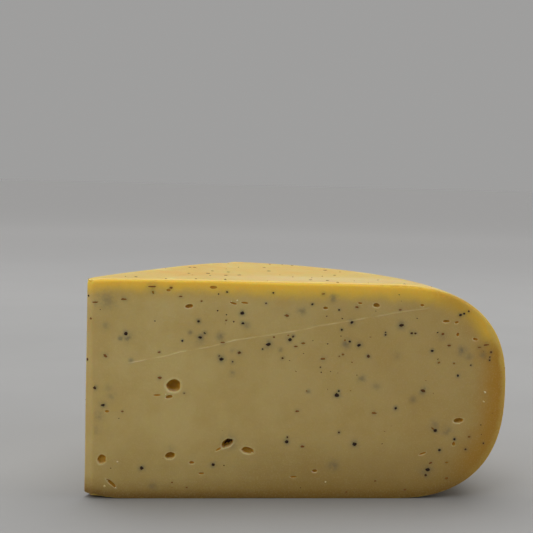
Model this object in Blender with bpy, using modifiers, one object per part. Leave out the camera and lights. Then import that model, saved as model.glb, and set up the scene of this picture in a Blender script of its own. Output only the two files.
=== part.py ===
"""A wedge of truffle gouda, cut from a full wheel. Run it with blender --background --python part.py.

Metres, +Z up. The front cut runs along +X from the middle of the wheel to its rim and faces -Y. The
second cut goes back from the same corner. The underside is flat and rests at z = 0, and the middle of
the wedge's box stands over the origin.
"""

from math import asin, atan2, cos, hypot, pi, radians, sin
import random

import bmesh
import bpy
from mathutils import Matrix, Vector

MM = 0.001

# The whole wheel: about 370 mm across and 96 mm high, with a round rim and a flat top and underside
WHEEL_RADIUS = 184.2 * MM
WHEEL_HEIGHT = 96 * MM
WIDEST_HEIGHT = 49 * MM
UPPER_SHOULDER = 53.6 * MM
UPPER_SQUARENESS = 2.53
LOWER_SHOULDER = 49.3 * MM
LOWER_SQUARENESS = 2.47
SHOULDER_STEPS = 12
WHEEL_STEPS = 100
WHEEL_SEAM_DEG = -0.7
SEAM_MERGE = 0.01 * MM
LEVEL_WITHIN_DEG = 0.3

# A sixth of the wheel. The two cuts meet at one corner, a little in front of the wheel's middle
CUT_ANGLE_DEG = 60.0
CORNER_BEFORE_MIDDLE = 6.6 * MM
SECOND_CUT_LENGTH = 190 * MM
SECOND_CUT_BOW = 2.5 * MM
SECOND_CUT_SETOFF = 1.5 * MM
SECOND_CUT_LEAN = 1.2 * MM
SECOND_CUT_STEPS = 8
NOSE_AT_TOP = 1.2 * MM
NOSE_AT_BASE = 2.6 * MM
PAST_THE_WHEEL = 20 * MM

# Knife edges softened by handling, a blunt nose where the cuts meet, and its worn base corner
CUT_EDGE_ROUNDING = 1.2 * MM
ROUNDED_ABOVE_DEG = 35
SHARP_ABOVE_DEG = 30
WORN_CORNER_LIFT = 1.8 * MM
WORN_CORNER_LENGTH = 14 * MM
WORN_CORNER_DEPTH = 10 * MM

# The low ridge that the knife left across the front cut
RIDGE_START = (17, 60)
RIDGE_END = (148, 84)
RIDGE_WIDTH = 0.9 * MM
RIDGE_HEIGHT = 0.25 * MM

# Eyes as (along the cut, up, width, height, depth, tilt in degrees), in mm from the base corner
FRONT_EYES = (
    (37.1, 49.9, 6.2, 5.3, 4.2, 0),
    (35.0, 44.8, 2.6, 1.6, 1.0, 10),
    (36.1, 19.1, 4.2, 3.0, 2.4, 15),
    (60.9, 24.7, 5.4, 3.4, 4.4, 25),
    (69.7, 21.6, 5.3, 2.9, 1.8, -8),
    (6.6, 17.5, 3.6, 4.0, 1.4, 0),
    (10.8, 6.7, 5.2, 1.6, 1.4, -45),
    (163.3, 35.2, 4.2, 2.4, 1.6, 5),
    (43.2, 84.5, 3.2, 1.9, 1.0, -10),
    (125.0, 86.0, 2.8, 2.0, 1.2, 0),
    (156.3, 79.4, 3.0, 1.5, 1.0, 0),
    (169.6, 71.6, 2.6, 1.5, 1.0, -15),
    (147.6, 20.3, 3.2, 1.3, 0.9, 20),
    (99.6, 12.4, 2.4, 1.5, 1.0, 0),
)
SECOND_EYES = (
    (31, 62, 4.4, 3.6, 2.8, 10),
    (58, 29, 6.0, 4.6, 4.0, -20),
    (66, 33, 3.0, 2.0, 1.4, 0),
    (92, 71, 3.4, 2.0, 1.4, 15),
    (104, 18, 5.0, 3.0, 2.6, 30),
    (128, 48, 4.0, 3.4, 2.4, 0),
    (151, 27, 3.4, 1.8, 1.2, -12),
    (163, 66, 2.8, 2.0, 1.2, 5),
)
EYE_SEGMENTS = 10
EYE_RINGS = 7
EYE_LIFT = 0.35

# The largest truffle pieces in the front cut, as (along, up, width) in mm from the base corner
FRONT_TRUFFLE = (
    (78, 68.5, 3.2), (57.5, 61.5, 2.8), (87.5, 70.5, 2.4), (66, 82, 2.3), (16.5, 72.5, 2.4), (24, 13.5, 2.4),
    (108.5, 46, 2.8), (87, 25.5, 2.2), (163, 82.5, 2.8), (118, 68.5, 2.4), (122, 63.5, 2.2), (162.5, 55.5, 1.8),
    (162, 27, 1.8), (65.5, 64.5, 1.9), (3.5, 48.5, 1.9), (48, 71, 2.7), (47.5, 78, 1.9), (7, 41, 2.7),
    (136.5, 77.5, 3.0), (141.5, 74, 3.0), (114.5, 78.5, 2.3), (147, 48.5, 3.1), (135, 40.5, 2.0), (153, 30.5, 2.3),
    (150, 13, 3.0), (117, 24.5, 3.0), (55, 15, 2.1), (85.5, 81, 2.6), (30.5, 64.5, 2.0), (7.5, 62.5, 2.6),
    (31, 53, 2.2), (91, 39, 2.3), (94, 23.5, 2.3), (102, 62, 2.8), (125.5, 38.5, 2.8), (150.5, 66, 1.9),
    (158, 68.5, 2.2), (174, 68, 3.2), (151.5, 17, 2.2), (159, 9, 2.2), (39.5, 88.5, 2.2), (15, 87, 3.2),
    (27.5, 91, 2.4), (93, 69, 2.2), (3.5, 86, 3.2), (176.5, 61.5, 1.8), (155, 22, 1.9), (140.5, 5, 1.9),
)
SMALL_FRONT_TRUFFLE = 26
SECOND_CUT_TRUFFLE = 74
RIND_TRUFFLE = 56
TRUFFLE_WIDTHS = (1.6 * MM, 3.2 * MM)
TRUFFLE_NARROWNESS = (0.5, 1.0)
TRUFFLE_UNEVENNESS = (0.85, 1.1)
TRUFFLE_PROUD = 0.35 * MM
TRUFFLE_SUNK = 0.5 * MM
TRUFFLE_SEED = 7
LEAST_GAP = 5.5 * MM
CUT_MARGIN = 5 * MM
RIND_LOWEST_SHARE = 0.88

# Surface finishes, as linear colours
PASTE_COLOUR = (0.62, 0.46, 0.16, 1.0)
PASTE_ROUGHNESS = 0.42
TRUFFLE_COLOUR = (0.012, 0.009, 0.007, 1.0)
TRUFFLE_ROUGHNESS = 0.6


def clear_scene():
    """Removes what the startup file put in the scene."""
    for obj in list(bpy.data.objects):
        bpy.data.objects.remove(obj, do_unlink=True)


def new_collection(name):
    collection = bpy.data.collections.new(name)
    bpy.context.scene.collection.children.link(collection)
    return collection


def finish_of(name, colour, roughness):
    """A plain Principled material."""
    material = bpy.data.materials.new(name)
    material.use_nodes = True
    shader = material.node_tree.nodes["Principled BSDF"]
    shader.inputs["Base Color"].default_value = colour
    shader.inputs["Roughness"].default_value = roughness
    shader.inputs["Metallic"].default_value = 0.0
    return material


def object_of(name, bm, collection, material=None):
    """A new object from a bmesh, which is freed."""
    mesh = bpy.data.meshes.new(name)
    bm.to_mesh(mesh)
    bm.free()
    if material:
        mesh.materials.append(material)
    obj = bpy.data.objects.new(name, mesh)
    collection.objects.link(obj)
    return obj


def as_cutter(obj):
    obj.hide_render = True
    obj.display_type = "WIRE"


def apply_modifiers(obj):
    """Makes the evaluated shape the object's own mesh."""
    bpy.context.view_layer.update()
    graph = bpy.context.evaluated_depsgraph_get()
    mesh = bpy.data.meshes.new_from_object(obj.evaluated_get(graph))
    obj.modifiers.clear()
    obj.data = mesh


def quarter_round(out, up, squareness):
    """A superellipse quarter from its level end to its upright end, as (outward, upward) points."""
    power = 2 / squareness
    turns = [pi / 2 * step / SHOULDER_STEPS for step in range(SHOULDER_STEPS + 1)]
    return [(out * sin(turn) ** power, up * cos(turn) ** power) for turn in turns]


def wheel_profile():
    """The wheel's half section as (radius, height) points, down its outer side from the top."""
    upper = quarter_round(UPPER_SHOULDER, WHEEL_HEIGHT - WIDEST_HEIGHT, UPPER_SQUARENESS)
    lower = quarter_round(LOWER_SHOULDER, WIDEST_HEIGHT, LOWER_SQUARENESS)
    points = [(0.0, WHEEL_HEIGHT)]
    points += [(WHEEL_RADIUS - UPPER_SHOULDER + out, WIDEST_HEIGHT + up) for out, up in upper]
    points += [(WHEEL_RADIUS - LOWER_SHOULDER + out, WIDEST_HEIGHT - up) for out, up in lower[-2::-1]]
    return points + [(0.0, 0.0)]


def turned_wheel(name, collection, material):
    """The whole wheel, turned about its axis, with its level faces made one face each."""
    bm = bmesh.new()
    corners = [bm.verts.new((radius, 0, height)) for radius, height in wheel_profile()]
    for first, second in zip(corners, corners[1:]):
        bm.edges.new((first, second))
    wheel = object_of(name, bm, collection, material)
    wheel.location.y = CORNER_BEFORE_MIDDLE
    wheel.rotation_euler.z = radians(WHEEL_SEAM_DEG)
    screw = wheel.modifiers.new("turn", "SCREW")
    screw.axis = "Z"
    screw.steps = WHEEL_STEPS
    screw.render_steps = WHEEL_STEPS
    screw.use_merge_vertices = True
    screw.merge_threshold = SEAM_MERGE
    flat = wheel.modifiers.new("level_faces", "DECIMATE")
    flat.decimate_type = "DISSOLVE"
    flat.angle_limit = radians(LEVEL_WITHIN_DEG)
    return wheel


def second_cut_point(along, height):
    """A point of the second cut, which bows out of the wedge and leans out towards the base."""
    angle = radians(CUT_ANGLE_DEG)
    share = along / SECOND_CUT_LENGTH
    bow = 4 * SECOND_CUT_BOW * share * (1 - share)
    out = SECOND_CUT_SETOFF + bow + SECOND_CUT_LEAN * (1 - height / WHEEL_HEIGHT)
    x = along * cos(angle) - out * sin(angle)
    y = along * sin(angle) + out * cos(angle)
    return Vector((x, y, height))


def cut_outline(nose, height):
    """The plan of what the two cuts leave, widened past the wheel: nose, front cut, far side, second cut."""
    reach = WHEEL_RADIUS + PAST_THE_WHEEL
    outline = [Vector((nose, 0, height)), Vector((reach, 0, height)), Vector((reach, reach, height))]
    far_end = SECOND_CUT_LENGTH + PAST_THE_WHEEL
    for step in range(SECOND_CUT_STEPS + 1):
        along = far_end + (nose - far_end) * step / SECOND_CUT_STEPS
        outline.append(second_cut_point(along, height))
    return outline


def knife_cuts(collection):
    """The block between the two cuts, lofted from its plan at the base to its plan at the top."""
    bm = bmesh.new()
    plans = (NOSE_AT_BASE, -PAST_THE_WHEEL), (NOSE_AT_TOP, WHEEL_HEIGHT + PAST_THE_WHEEL)
    base, top = ([bm.verts.new(point) for point in cut_outline(*plan)] for plan in plans)
    bm.faces.new(base[::-1])
    bm.faces.new(top)
    for index in range(len(base)):
        after = (index + 1) % len(base)
        bm.faces.new((base[index], base[after], top[after], top[index]))
    knife = object_of("knife_cuts", bm, collection)
    as_cutter(knife)
    return knife


def worn_corner(collection):
    """A tilted block that shaves the base away under the nose."""
    bm = bmesh.new()
    bmesh.ops.create_cube(bm, size=4 * WORN_CORNER_LENGTH)
    bmesh.ops.translate(bm, verts=bm.verts, vec=(0, 0, -2 * WORN_CORNER_LENGTH))
    along = Vector((WORN_CORNER_LENGTH, 0, -WORN_CORNER_LIFT)).normalized()
    back = Vector((0, WORN_CORNER_DEPTH, -WORN_CORNER_LIFT))
    up = along.cross(back).normalized()
    turn = Matrix((along, up.cross(along), up)).transposed().to_4x4()
    bm.transform(Matrix.Translation((0, 0, WORN_CORNER_LIFT)) @ turn)
    worn = object_of("worn_corner", bm, collection)
    as_cutter(worn)
    return worn


def front_place(along, up):
    """The frame of a spot on the front cut: x along it, y up it, z out of it."""
    axes = Matrix(((1, 0, 0), (0, 0, -1), (0, 1, 0))).to_4x4()
    return Matrix.Translation((along, 0, up)) @ axes


def second_place(along, up):
    """The frame of a spot on the second cut, with z out of it."""
    here = second_cut_point(along, up)
    run = (second_cut_point(along + MM, up) - here).normalized()
    rise = (second_cut_point(along, up + MM) - here).normalized()
    axes = Matrix((-run, rise, rise.cross(run))).transposed().to_4x4()
    return Matrix.Translation(here) @ axes


def rind_place(share, turn):
    """The frame of a spot on the rind, by its share of the way down the section and its angle."""
    section = wheel_profile()[:-1]
    runs = [hypot(after[0] - here[0], after[1] - here[1]) for here, after in zip(section, section[1:])]
    left = share * sum(runs)
    index = 0
    while left > runs[index]:
        left -= runs[index]
        index += 1
    here, after = Vector(section[index]), Vector(section[index + 1])
    radius, height = here.lerp(after, left / runs[index])
    slope = (after - here).normalized()
    outward = Vector((cos(turn), sin(turn), 0))
    down = outward * slope.x + Vector((0, 0, slope.y))
    normal = Vector((0, 0, slope.x)) - outward * slope.y
    axes = Matrix((down.cross(normal), down, normal)).transposed().to_4x4()
    # The faceted wheel's chords lie this much inside the round
    inset = cos(pi / WHEEL_STEPS)
    return Matrix.Translation(Vector((0, CORNER_BEFORE_MIDDLE, height)) + outward * radius * inset) @ axes


def section_reach(height):
    """How far out the wheel's section goes at a height."""
    shoulder, room, squareness = LOWER_SHOULDER, WIDEST_HEIGHT, LOWER_SQUARENESS
    if height > WIDEST_HEIGHT:
        shoulder, room, squareness = UPPER_SHOULDER, WHEEL_HEIGHT - WIDEST_HEIGHT, UPPER_SQUARENESS
    rise = abs(height - WIDEST_HEIGHT) / room
    return WHEEL_RADIUS - shoulder + shoulder * (1 - rise**squareness) ** (1 / squareness)


def eye(name, place, width, height, depth, tilt, collection):
    """An egg-shaped cutter, sunk in a face so that its mouth has this width and height."""
    bm = bmesh.new()
    bmesh.ops.create_uvsphere(bm, u_segments=EYE_SEGMENTS, v_segments=EYE_RINGS, radius=1.0)
    mouth = cos(asin(EYE_LIFT))
    size = Vector((width / 2 / mouth, height / 2 / mouth, depth / (1 - EYE_LIFT)))
    shape = Matrix.Rotation(radians(tilt), 4, "Z") @ Matrix.Diagonal((*size, 1))
    bm.transform(place @ Matrix.Translation((0, 0, EYE_LIFT * size.z)) @ shape)
    as_cutter(object_of(name, bm, collection))


def eyes_of_cut(cut, place_of, eyes, collection):
    """A cutter for each eye of one cut. It gives the places they take."""
    places = []
    for number, (along, up, width, height, depth, tilt) in enumerate(eyes, 1):
        place = place_of(along * MM, up * MM)
        eye(f"{cut}_eye_{number}", place, width * MM, height * MM, depth * MM, tilt, collection)
        places.append(place)
    return places


def truffle_piece(place, width, draw, collection, material):
    """A flat crumb with twenty faces, most of it sunk in the cheese."""
    bm = bmesh.new()
    bmesh.ops.create_icosphere(bm, subdivisions=1, radius=1.0)
    for vert in bm.verts:
        vert.co *= draw.uniform(*TRUFFLE_UNEVENNESS)
    across = width * draw.uniform(*TRUFFLE_NARROWNESS)
    size = Matrix.Diagonal((width / 2, across / 2, (TRUFFLE_PROUD + TRUFFLE_SUNK) / 2, 1))
    spin = Matrix.Rotation(draw.uniform(0, pi), 4, "Z")
    lift = Matrix.Translation((0, 0, (TRUFFLE_PROUD - TRUFFLE_SUNK) / 2))
    bm.transform(place @ lift @ spin @ size)
    object_of("truffle_piece", bm, collection, material)


def spot_in_cut(place_of, draw):
    """A drawn place in a cut, or none where the draw falls outside the section."""
    along = draw.uniform(CUT_MARGIN, WHEEL_RADIUS)
    height = draw.uniform(CUT_MARGIN, WHEEL_HEIGHT - CUT_MARGIN)
    return place_of(along, height) if along < section_reach(height) - CUT_MARGIN else None


def spot_on_rind(draw):
    """A drawn place on the rind, as often per area near the rim as near the middle."""
    place = rind_place(draw.uniform(0, RIND_LOWEST_SHARE), radians(draw.uniform(0, CUT_ANGLE_DEG)))
    x, y, _ = place.translation
    angle = radians(CUT_ANGLE_DEG)
    from_second_cut = x * sin(angle) - y * cos(angle)
    thinned = draw.random() > hypot(x, y - CORNER_BEFORE_MIDDLE) / WHEEL_RADIUS
    return None if thinned or min(y, from_second_cut) < CUT_MARGIN else place


def scatter(count, draw_place, taken):
    """Places drawn one by one, each kept only where it is clear of those before it."""
    kept = []
    while len(kept) < count:
        place = draw_place()
        if place and all((place.translation - other.translation).length > LEAST_GAP for other in taken):
            taken.append(place)
            kept.append(place)
    return kept


def truffle(front_eyes, second_eyes, collection, material):
    """All the truffle: the measured pieces first, then the rest spread by a seeded draw."""
    draw = random.Random(TRUFFLE_SEED)
    small, large = TRUFFLE_WIDTHS
    pieces = [(front_place(along * MM, up * MM), width * MM) for along, up, width in FRONT_TRUFFLE]
    taken = front_eyes + second_eyes + [place for place, _ in pieces]
    for place in scatter(SMALL_FRONT_TRUFFLE, lambda: spot_in_cut(front_place, draw), taken):
        pieces.append((place, small))
    for place in scatter(SECOND_CUT_TRUFFLE, lambda: spot_in_cut(second_place, draw), taken):
        pieces.append((place, draw.uniform(small, large)))
    for place in scatter(RIND_TRUFFLE, lambda: spot_on_rind(draw), taken):
        pieces.append((place, draw.uniform(small, large)))
    for place, width in pieces:
        truffle_piece(place, width, draw, collection, material)


def knife_ridge(collection, material):
    """A low three-sided bar where the knife changed its path across the front cut."""
    start, end = Vector(RIDGE_START) * MM, Vector(RIDGE_END) * MM
    run = end - start
    bm = bmesh.new()
    bmesh.ops.create_cone(bm, cap_ends=True, segments=3, radius1=1.0, radius2=1.0, depth=run.length)
    lay_down = Matrix.Rotation(pi / 2, 4, "X") @ Matrix.Rotation(pi / 2, 4, "Y")
    size = Matrix.Diagonal((1, RIDGE_WIDTH / 2, RIDGE_HEIGHT, 1))
    turn = Matrix.Rotation(atan2(run.y, run.x), 4, "Z")
    bm.transform(front_place(*(start + run / 2)) @ turn @ size @ lay_down)
    object_of("knife_ridge", bm, collection, material)


def boolean(obj, operation, name, other=None, collection=None):
    """Adds an exact Boolean with one object or with a collection."""
    step = obj.modifiers.new(name, "BOOLEAN")
    step.operation = operation
    step.solver = "EXACT"
    step.material_mode = "TRANSFER"
    if collection:
        step.operand_type = "COLLECTION"
        step.collection = collection
    else:
        step.object = other


def soften_edges(obj):
    """Rounds the edges that the knife left, and none of the wheel's own."""
    soften = obj.modifiers.new("softened_edges", "BEVEL")
    soften.width = CUT_EDGE_ROUNDING
    soften.segments = 2
    soften.limit_method = "ANGLE"
    soften.angle_limit = radians(ROUNDED_ABOVE_DEG)


def stand_at_origin(wedge, cutters):
    """Moves the wedge and its cutters so that the middle of its underside is at the origin."""
    wedge.data.transform(wedge.matrix_world)
    wedge.matrix_world = Matrix()
    points = [vert.co for vert in wedge.data.vertices]
    low, high = ([edge(point[axis] for point in points) for axis in range(3)] for edge in (min, max))
    shift = Vector((-(low[0] + high[0]) / 2, -(low[1] + high[1]) / 2, -low[2]))
    wedge.data.transform(Matrix.Translation(shift))
    for cutter in cutters.objects:
        cutter.location += shift


def main():
    clear_scene()
    parts = new_collection("truffle_gouda")
    cutters = new_collection("cutters")
    eyes = new_collection("eyes")
    crumbs = new_collection("truffle")
    paste = finish_of("paste", PASTE_COLOUR, PASTE_ROUGHNESS)
    black = finish_of("truffle", TRUFFLE_COLOUR, TRUFFLE_ROUGHNESS)

    wedge = turned_wheel("cheese_wedge", parts, paste)
    boolean(wedge, "INTERSECT", "knife_cuts", other=knife_cuts(cutters))
    soften_edges(wedge)
    boolean(wedge, "DIFFERENCE", "worn_corner", other=worn_corner(cutters))
    front_eyes = eyes_of_cut("front", front_place, FRONT_EYES, eyes)
    second_eyes = eyes_of_cut("second", second_place, SECOND_EYES, eyes)
    boolean(wedge, "DIFFERENCE", "eyes", collection=eyes)

    truffle(front_eyes, second_eyes, crumbs, black)
    knife_ridge(crumbs, paste)
    boolean(wedge, "UNION", "truffle", collection=crumbs)
    apply_modifiers(wedge)
    for crumb in list(crumbs.objects):
        bpy.data.objects.remove(crumb)
    for cutter in list(eyes.objects):
        eyes.objects.unlink(cutter)
        cutters.objects.link(cutter)
    stand_at_origin(wedge, cutters)
    wedge.data.shade_smooth()
    wedge.data.set_sharp_from_angle(angle=radians(SHARP_ABOVE_DEG))


main()
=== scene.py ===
"""Dresses a wedge of truffle gouda: cut paste with eyes, a coated rind, and truffle in both.

Metres, +Z up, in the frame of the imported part. Places on a cut are given as millimetres along the
cut from the corner where the two cuts meet, and millimetres up from the underside.
"""

import random
from math import atan2, cos, hypot, pi, radians, sin, sqrt

import bmesh
import bpy
import numpy as np
from bpy.props import FloatProperty, FloatVectorProperty, IntProperty, PointerProperty
from mathutils import Matrix, Vector, noise
from mathutils.bvhtree import BVHTree
from mathutils.kdtree import KDTree
from mathutils.geometry import delaunay_2d_cdt


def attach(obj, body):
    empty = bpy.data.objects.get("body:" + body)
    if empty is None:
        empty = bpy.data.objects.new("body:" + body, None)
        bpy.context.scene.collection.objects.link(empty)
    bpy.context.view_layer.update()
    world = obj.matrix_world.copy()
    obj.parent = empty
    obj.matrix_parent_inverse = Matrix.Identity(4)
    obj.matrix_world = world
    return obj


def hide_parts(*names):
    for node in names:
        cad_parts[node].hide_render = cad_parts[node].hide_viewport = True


bl_info = {
    "name": "Truffle gouda wedge",
    "version": (1, 0, 0),
    "blender": (4, 5, 0),
    "location": "3D View > Sidebar > Gouda",
    "description": "Makes a wedge of truffle gouda with its paste, rind, eyes and truffle",
    "category": "Object",
}

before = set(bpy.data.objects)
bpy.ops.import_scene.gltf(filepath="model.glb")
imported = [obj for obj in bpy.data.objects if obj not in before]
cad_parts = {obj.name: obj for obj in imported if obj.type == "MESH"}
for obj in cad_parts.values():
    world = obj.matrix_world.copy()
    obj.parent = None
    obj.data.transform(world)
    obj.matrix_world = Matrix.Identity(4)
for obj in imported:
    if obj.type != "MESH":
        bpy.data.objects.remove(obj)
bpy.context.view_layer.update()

MM = 0.001
CAD_NODE = "cheese_wedge"
WEDGE_NAME = "gouda_wedge"
# Where the two cuts meet, in the frame of the part
CORNER = Vector((-0.091573, -0.082508, 0))
# The rings of a piece of truffle, from its root up: share of its width, and share of what stands out
TRUFFLE_LEVELS = ((0.96, -2), (1.0, 0.1), (0.84, 0.8), (0.4, 1))
# The same for a crumb, with shares of its height, which is a share of its width
CRUMB_LEVELS = ((0.7, -0.5), (1.0, 0.2), (0.85, 0.75), (0.4, 1))
CRUMB_HEIGHT = 0.35
# How far the middle of a rounded edge lies inside both of its faces, as a share of its radius
EDGE_MIDDLE = 1 - cos(pi / 4)
# Closer than this, a point counts as lying on a line or on another point
ON_THE_LINE = 1e-7
# Rows that follow an edge over its rounding
EDGE_ROWS = (0, 0.12 * MM, 0.3 * MM, 0.54 * MM, 0.84 * MM, 1.2 * MM, 1.8 * MM)
# The solid middle of a fleck, as a share of the width that it seems to have
CUT_SHARE = 0.76
# The smallest drawn fleck, how much wider the widest is, and how strongly small ones are favoured
SMALLEST_FLECK = 0.6
FLECK_RANGE = 2.1
SMALL_FAVOURED = 1.8
# The share of drawn pieces of truffle that lie close to another one, and how close on the rind
CLUSTERED = 0.3
CLUSTER_RADIUS = 5 * MM
# How often a spot is drawn for each that is wanted, before the draw gives up
TRIES_PER_SPOT = 60
# How far outside the wedge a ray starts
RAY_ROOM = 0.05
# Where the front cut's upper edge starts to soften, is soft, hardens and is hard, as shares of the radius
SOFT_EDGE_SPAN = (0.30, 0.44, 0.70, 0.92)
# How far the plan of the nose runs on along each cut, and the points of each of its two roundings
NOSE_ARM = 20 * MM
NOSE_POINTS = 9
# How far the plan of the cuts runs past the rim, as a share of the radius, and its points
PLAN_REACH = 1.1
PLAN_POINTS = 60
# How finely the rind and the two cuts are divided
RIND_COLUMNS = 104
RIND_STEP = 2.0 * MM
FRONT_STEP = 1.3 * MM
SECOND_STEP = 2.0 * MM
SHOULDER_STEPS = 30
# The fine columns at each end of a row, and the bands of rows that follow a cut's edge
FINE_COLUMNS = (3.2 * MM, 1.4 * MM)
EDGE_BAND = (4 * MM, MM)
# An eye's uneven mouth: how many waves go round it, and how strong they are
MOUTH_WAVES = (2, 3, 5, 7)
MOUTH_UNEVENNESS = 0.07
# Rings of points over an eye, as shares of its mouth, and over a veil, as shares of its width
EYE_RINGS = (0, 0.3, 0.5, 0.66, 0.78, 0.87, 0.94, 1.0, 1.07, 1.16, 1.3, 1.5)
VEIL_RINGS = (0, 0.2, 0.35, 0.5, 0.75)
# Rows of points along the knife line, in millimetres beside it
KNIFE_ROWS = (0, 0.22, -0.22, 0.5, -0.5, 0.9, -0.9)
# The slow waves of a cut and the finer ones on them: how long they are
RIPPLE_LENGTH = 22 * MM
FINE_RIPPLE_LENGTH = 3.5 * MM
# An eye's raised lip, the pale ring outside its mouth and the one inside, both mostly a painted highlight
# on the lower side: middle and breadth
RAISED_LIP = (1.12, 0.11)
PALE_AND_HIGHLIGHT_OUTSIDE = (1.16, 0.17)
HIGHLIGHT_INSIDE = (0.9, 0.1)
# How far the whole form is out of true along each axis, and over what length
WARP = (0.00010, 0.00010, 0.00016)
WARP_LENGTH = 30 * MM
# How high the wear under the nose reaches, and the size of its crumbling
WORN_HEIGHT = 12 * MM
CRUMBLE_LENGTH = 2.4 * MM
# Where truffle is drawn in the second cut, in millimetres along it and up
FLECK_SPAN = ((2, 190), (3, 93))
VEIL_SPAN = ((8, 178), (6, 90))
SECOND_VEILS = 50
# How far the pieces of a cluster lie apart, in millimetres along the cut and up
CLUSTER_SPREAD = (6, 5)
# The share of drawn pieces that are black, how round black and brown ones are, and how far they tilt
BLACK_SHARE = 0.6
BLACK_ROUNDNESS = (0.55, 1.0)
BROWN_ROUNDNESS = (0.3, 0.7)
TILT_SPREAD = 20
# Widths of the drawn pieces in the front cut and in the rind, in millimetres
SPECK_WIDTHS = (0.5, 0.9)
RIND_FLECK_WIDTHS = (0.6, 1.9)
# A stretch of the top behind the front cut, painted pale as a sheen: a painted highlight
SHEEN_MIDDLE = (0.012, -0.066, 0.0964)
SHEEN_SIZE = (0.060, 0.017, 0.01)
# How far red, green and blue light reach in the paste, as shares of the scale
GLOW_REACH = (1.0, 0.55, 0.16)
FLOOR_WIDTH = 40.0
FAR_FLOOR = (0.98, 0.975, 0.97)
SENSOR_WIDTH = 36.0
# Soft lights: name, place and size. The stage's settings hold their powers under the same names
LIGHTS = (
    ("overhead", (0.05, 0.30, 1.10), (1.5, 0.9)),
    ("fill", (-0.70, -0.90, 0.80), (0.8, 0.6)),
    ("side", (1.10, -0.10, 0.55), (0.7, 0.9)),
)
LIT_POINT = Vector((0, 0, 0.05))

# Eyes in the front cut: along, up, width, height, depth, tilt in degrees, weight of the pale lip and its
# painted highlight
FRONT_EYES = (
    (37.1, 49.9, 6.2, 5.3, 4.6, 0, 0.9), (35.2, 44.9, 3.0, 1.6, 1.2, 8, 0.9),
    (30.0, 45.6, 3.2, 0.9, 0.5, 2, 0.3), (36.1, 19.1, 4.2, 3.0, 2.6, 15, 0.8),
    (60.9, 24.7, 5.6, 3.3, 4.2, 28, 0.8), (69.9, 21.5, 5.4, 2.9, 2.0, -10, 1.0),
    (6.6, 17.5, 3.6, 4.2, 1.5, 0, 0.7), (10.9, 6.6, 5.4, 1.5, 1.5, -42, 0.8),
    (45.5, 16.0, 2.2, 1.3, 0.9, 0, 0.7), (49.8, 11.2, 2.4, 0.9, 0.7, 0, 0.5),
    (163.3, 35.2, 4.2, 2.3, 2.0, 5, 1.0), (161.5, 24.7, 1.5, 1.9, 0.9, 0, 0.5),
    (99.6, 12.4, 2.4, 1.4, 1.2, 0, 1.0), (90.3, 9.6, 2.8, 0.8, 0.7, 0, 0.6),
    (43.2, 84.5, 3.3, 1.9, 1.4, 8, 0.8), (62.3, 86.0, 3.0, 1.0, 0.8, -14, 0.8),
    (67.2, 86.3, 3.2, 0.9, 0.7, -6, 0.6), (125.0, 86.0, 2.9, 2.0, 1.5, 0, 1.0),
    (117.7, 86.8, 1.9, 0.9, 0.7, 0, 0.8), (102.5, 84.4, 2.1, 1.4, 1.0, 0, 1.0),
    (156.3, 79.4, 3.0, 1.3, 1.0, 0, 1.0), (161.0, 79.0, 1.9, 1.2, 0.8, 12, 0.9),
    (161.7, 73.6, 1.3, 1.8, 0.8, 0, 0.5), (169.6, 71.6, 2.4, 1.3, 0.9, -15, 1.0),
    (147.6, 20.3, 3.2, 1.0, 0.8, 18, 1.0), (145.3, 86.3, 1.8, 1.2, 0.8, 0, 0.7),
    (57.2, 22.0, 3.0, 1.0, 0.4, 32, 1.0), (53.5, 92.8, 3.4, 1.4, 0.5, 0, 0.2),
    (8.7, 38.4, 1.9, 1.2, 0.6, 0, 0.3), (34.2, 91.3, 1.9, 1.2, 0.6, 0, 0.3),
)
# Eyes in the second cut, on the same scheme
SECOND_EYES = (
    (31, 62, 4.4, 3.6, 3.0, 10, 0.8), (58, 29, 6.0, 4.6, 4.2, -20, 0.9), (66, 33, 3.0, 1.8, 1.4, 0, 0.8),
    (92, 71, 3.4, 1.8, 1.4, 15, 0.9), (104, 18, 5.0, 2.8, 2.6, 30, 0.9), (128, 48, 4.0, 3.4, 2.6, 0, 0.8),
    (151, 27, 3.4, 1.6, 1.2, -12, 0.9), (163, 66, 2.8, 1.8, 1.2, 5, 0.9), (22, 84, 2.4, 1.2, 0.8, 0, 0.8),
    (79, 88, 2.6, 1.4, 1.0, -8, 0.9), (118, 82, 2.0, 1.2, 0.8, 0, 0.8), (44, 12, 2.6, 1.0, 0.8, 6, 0.8),
)
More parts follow.
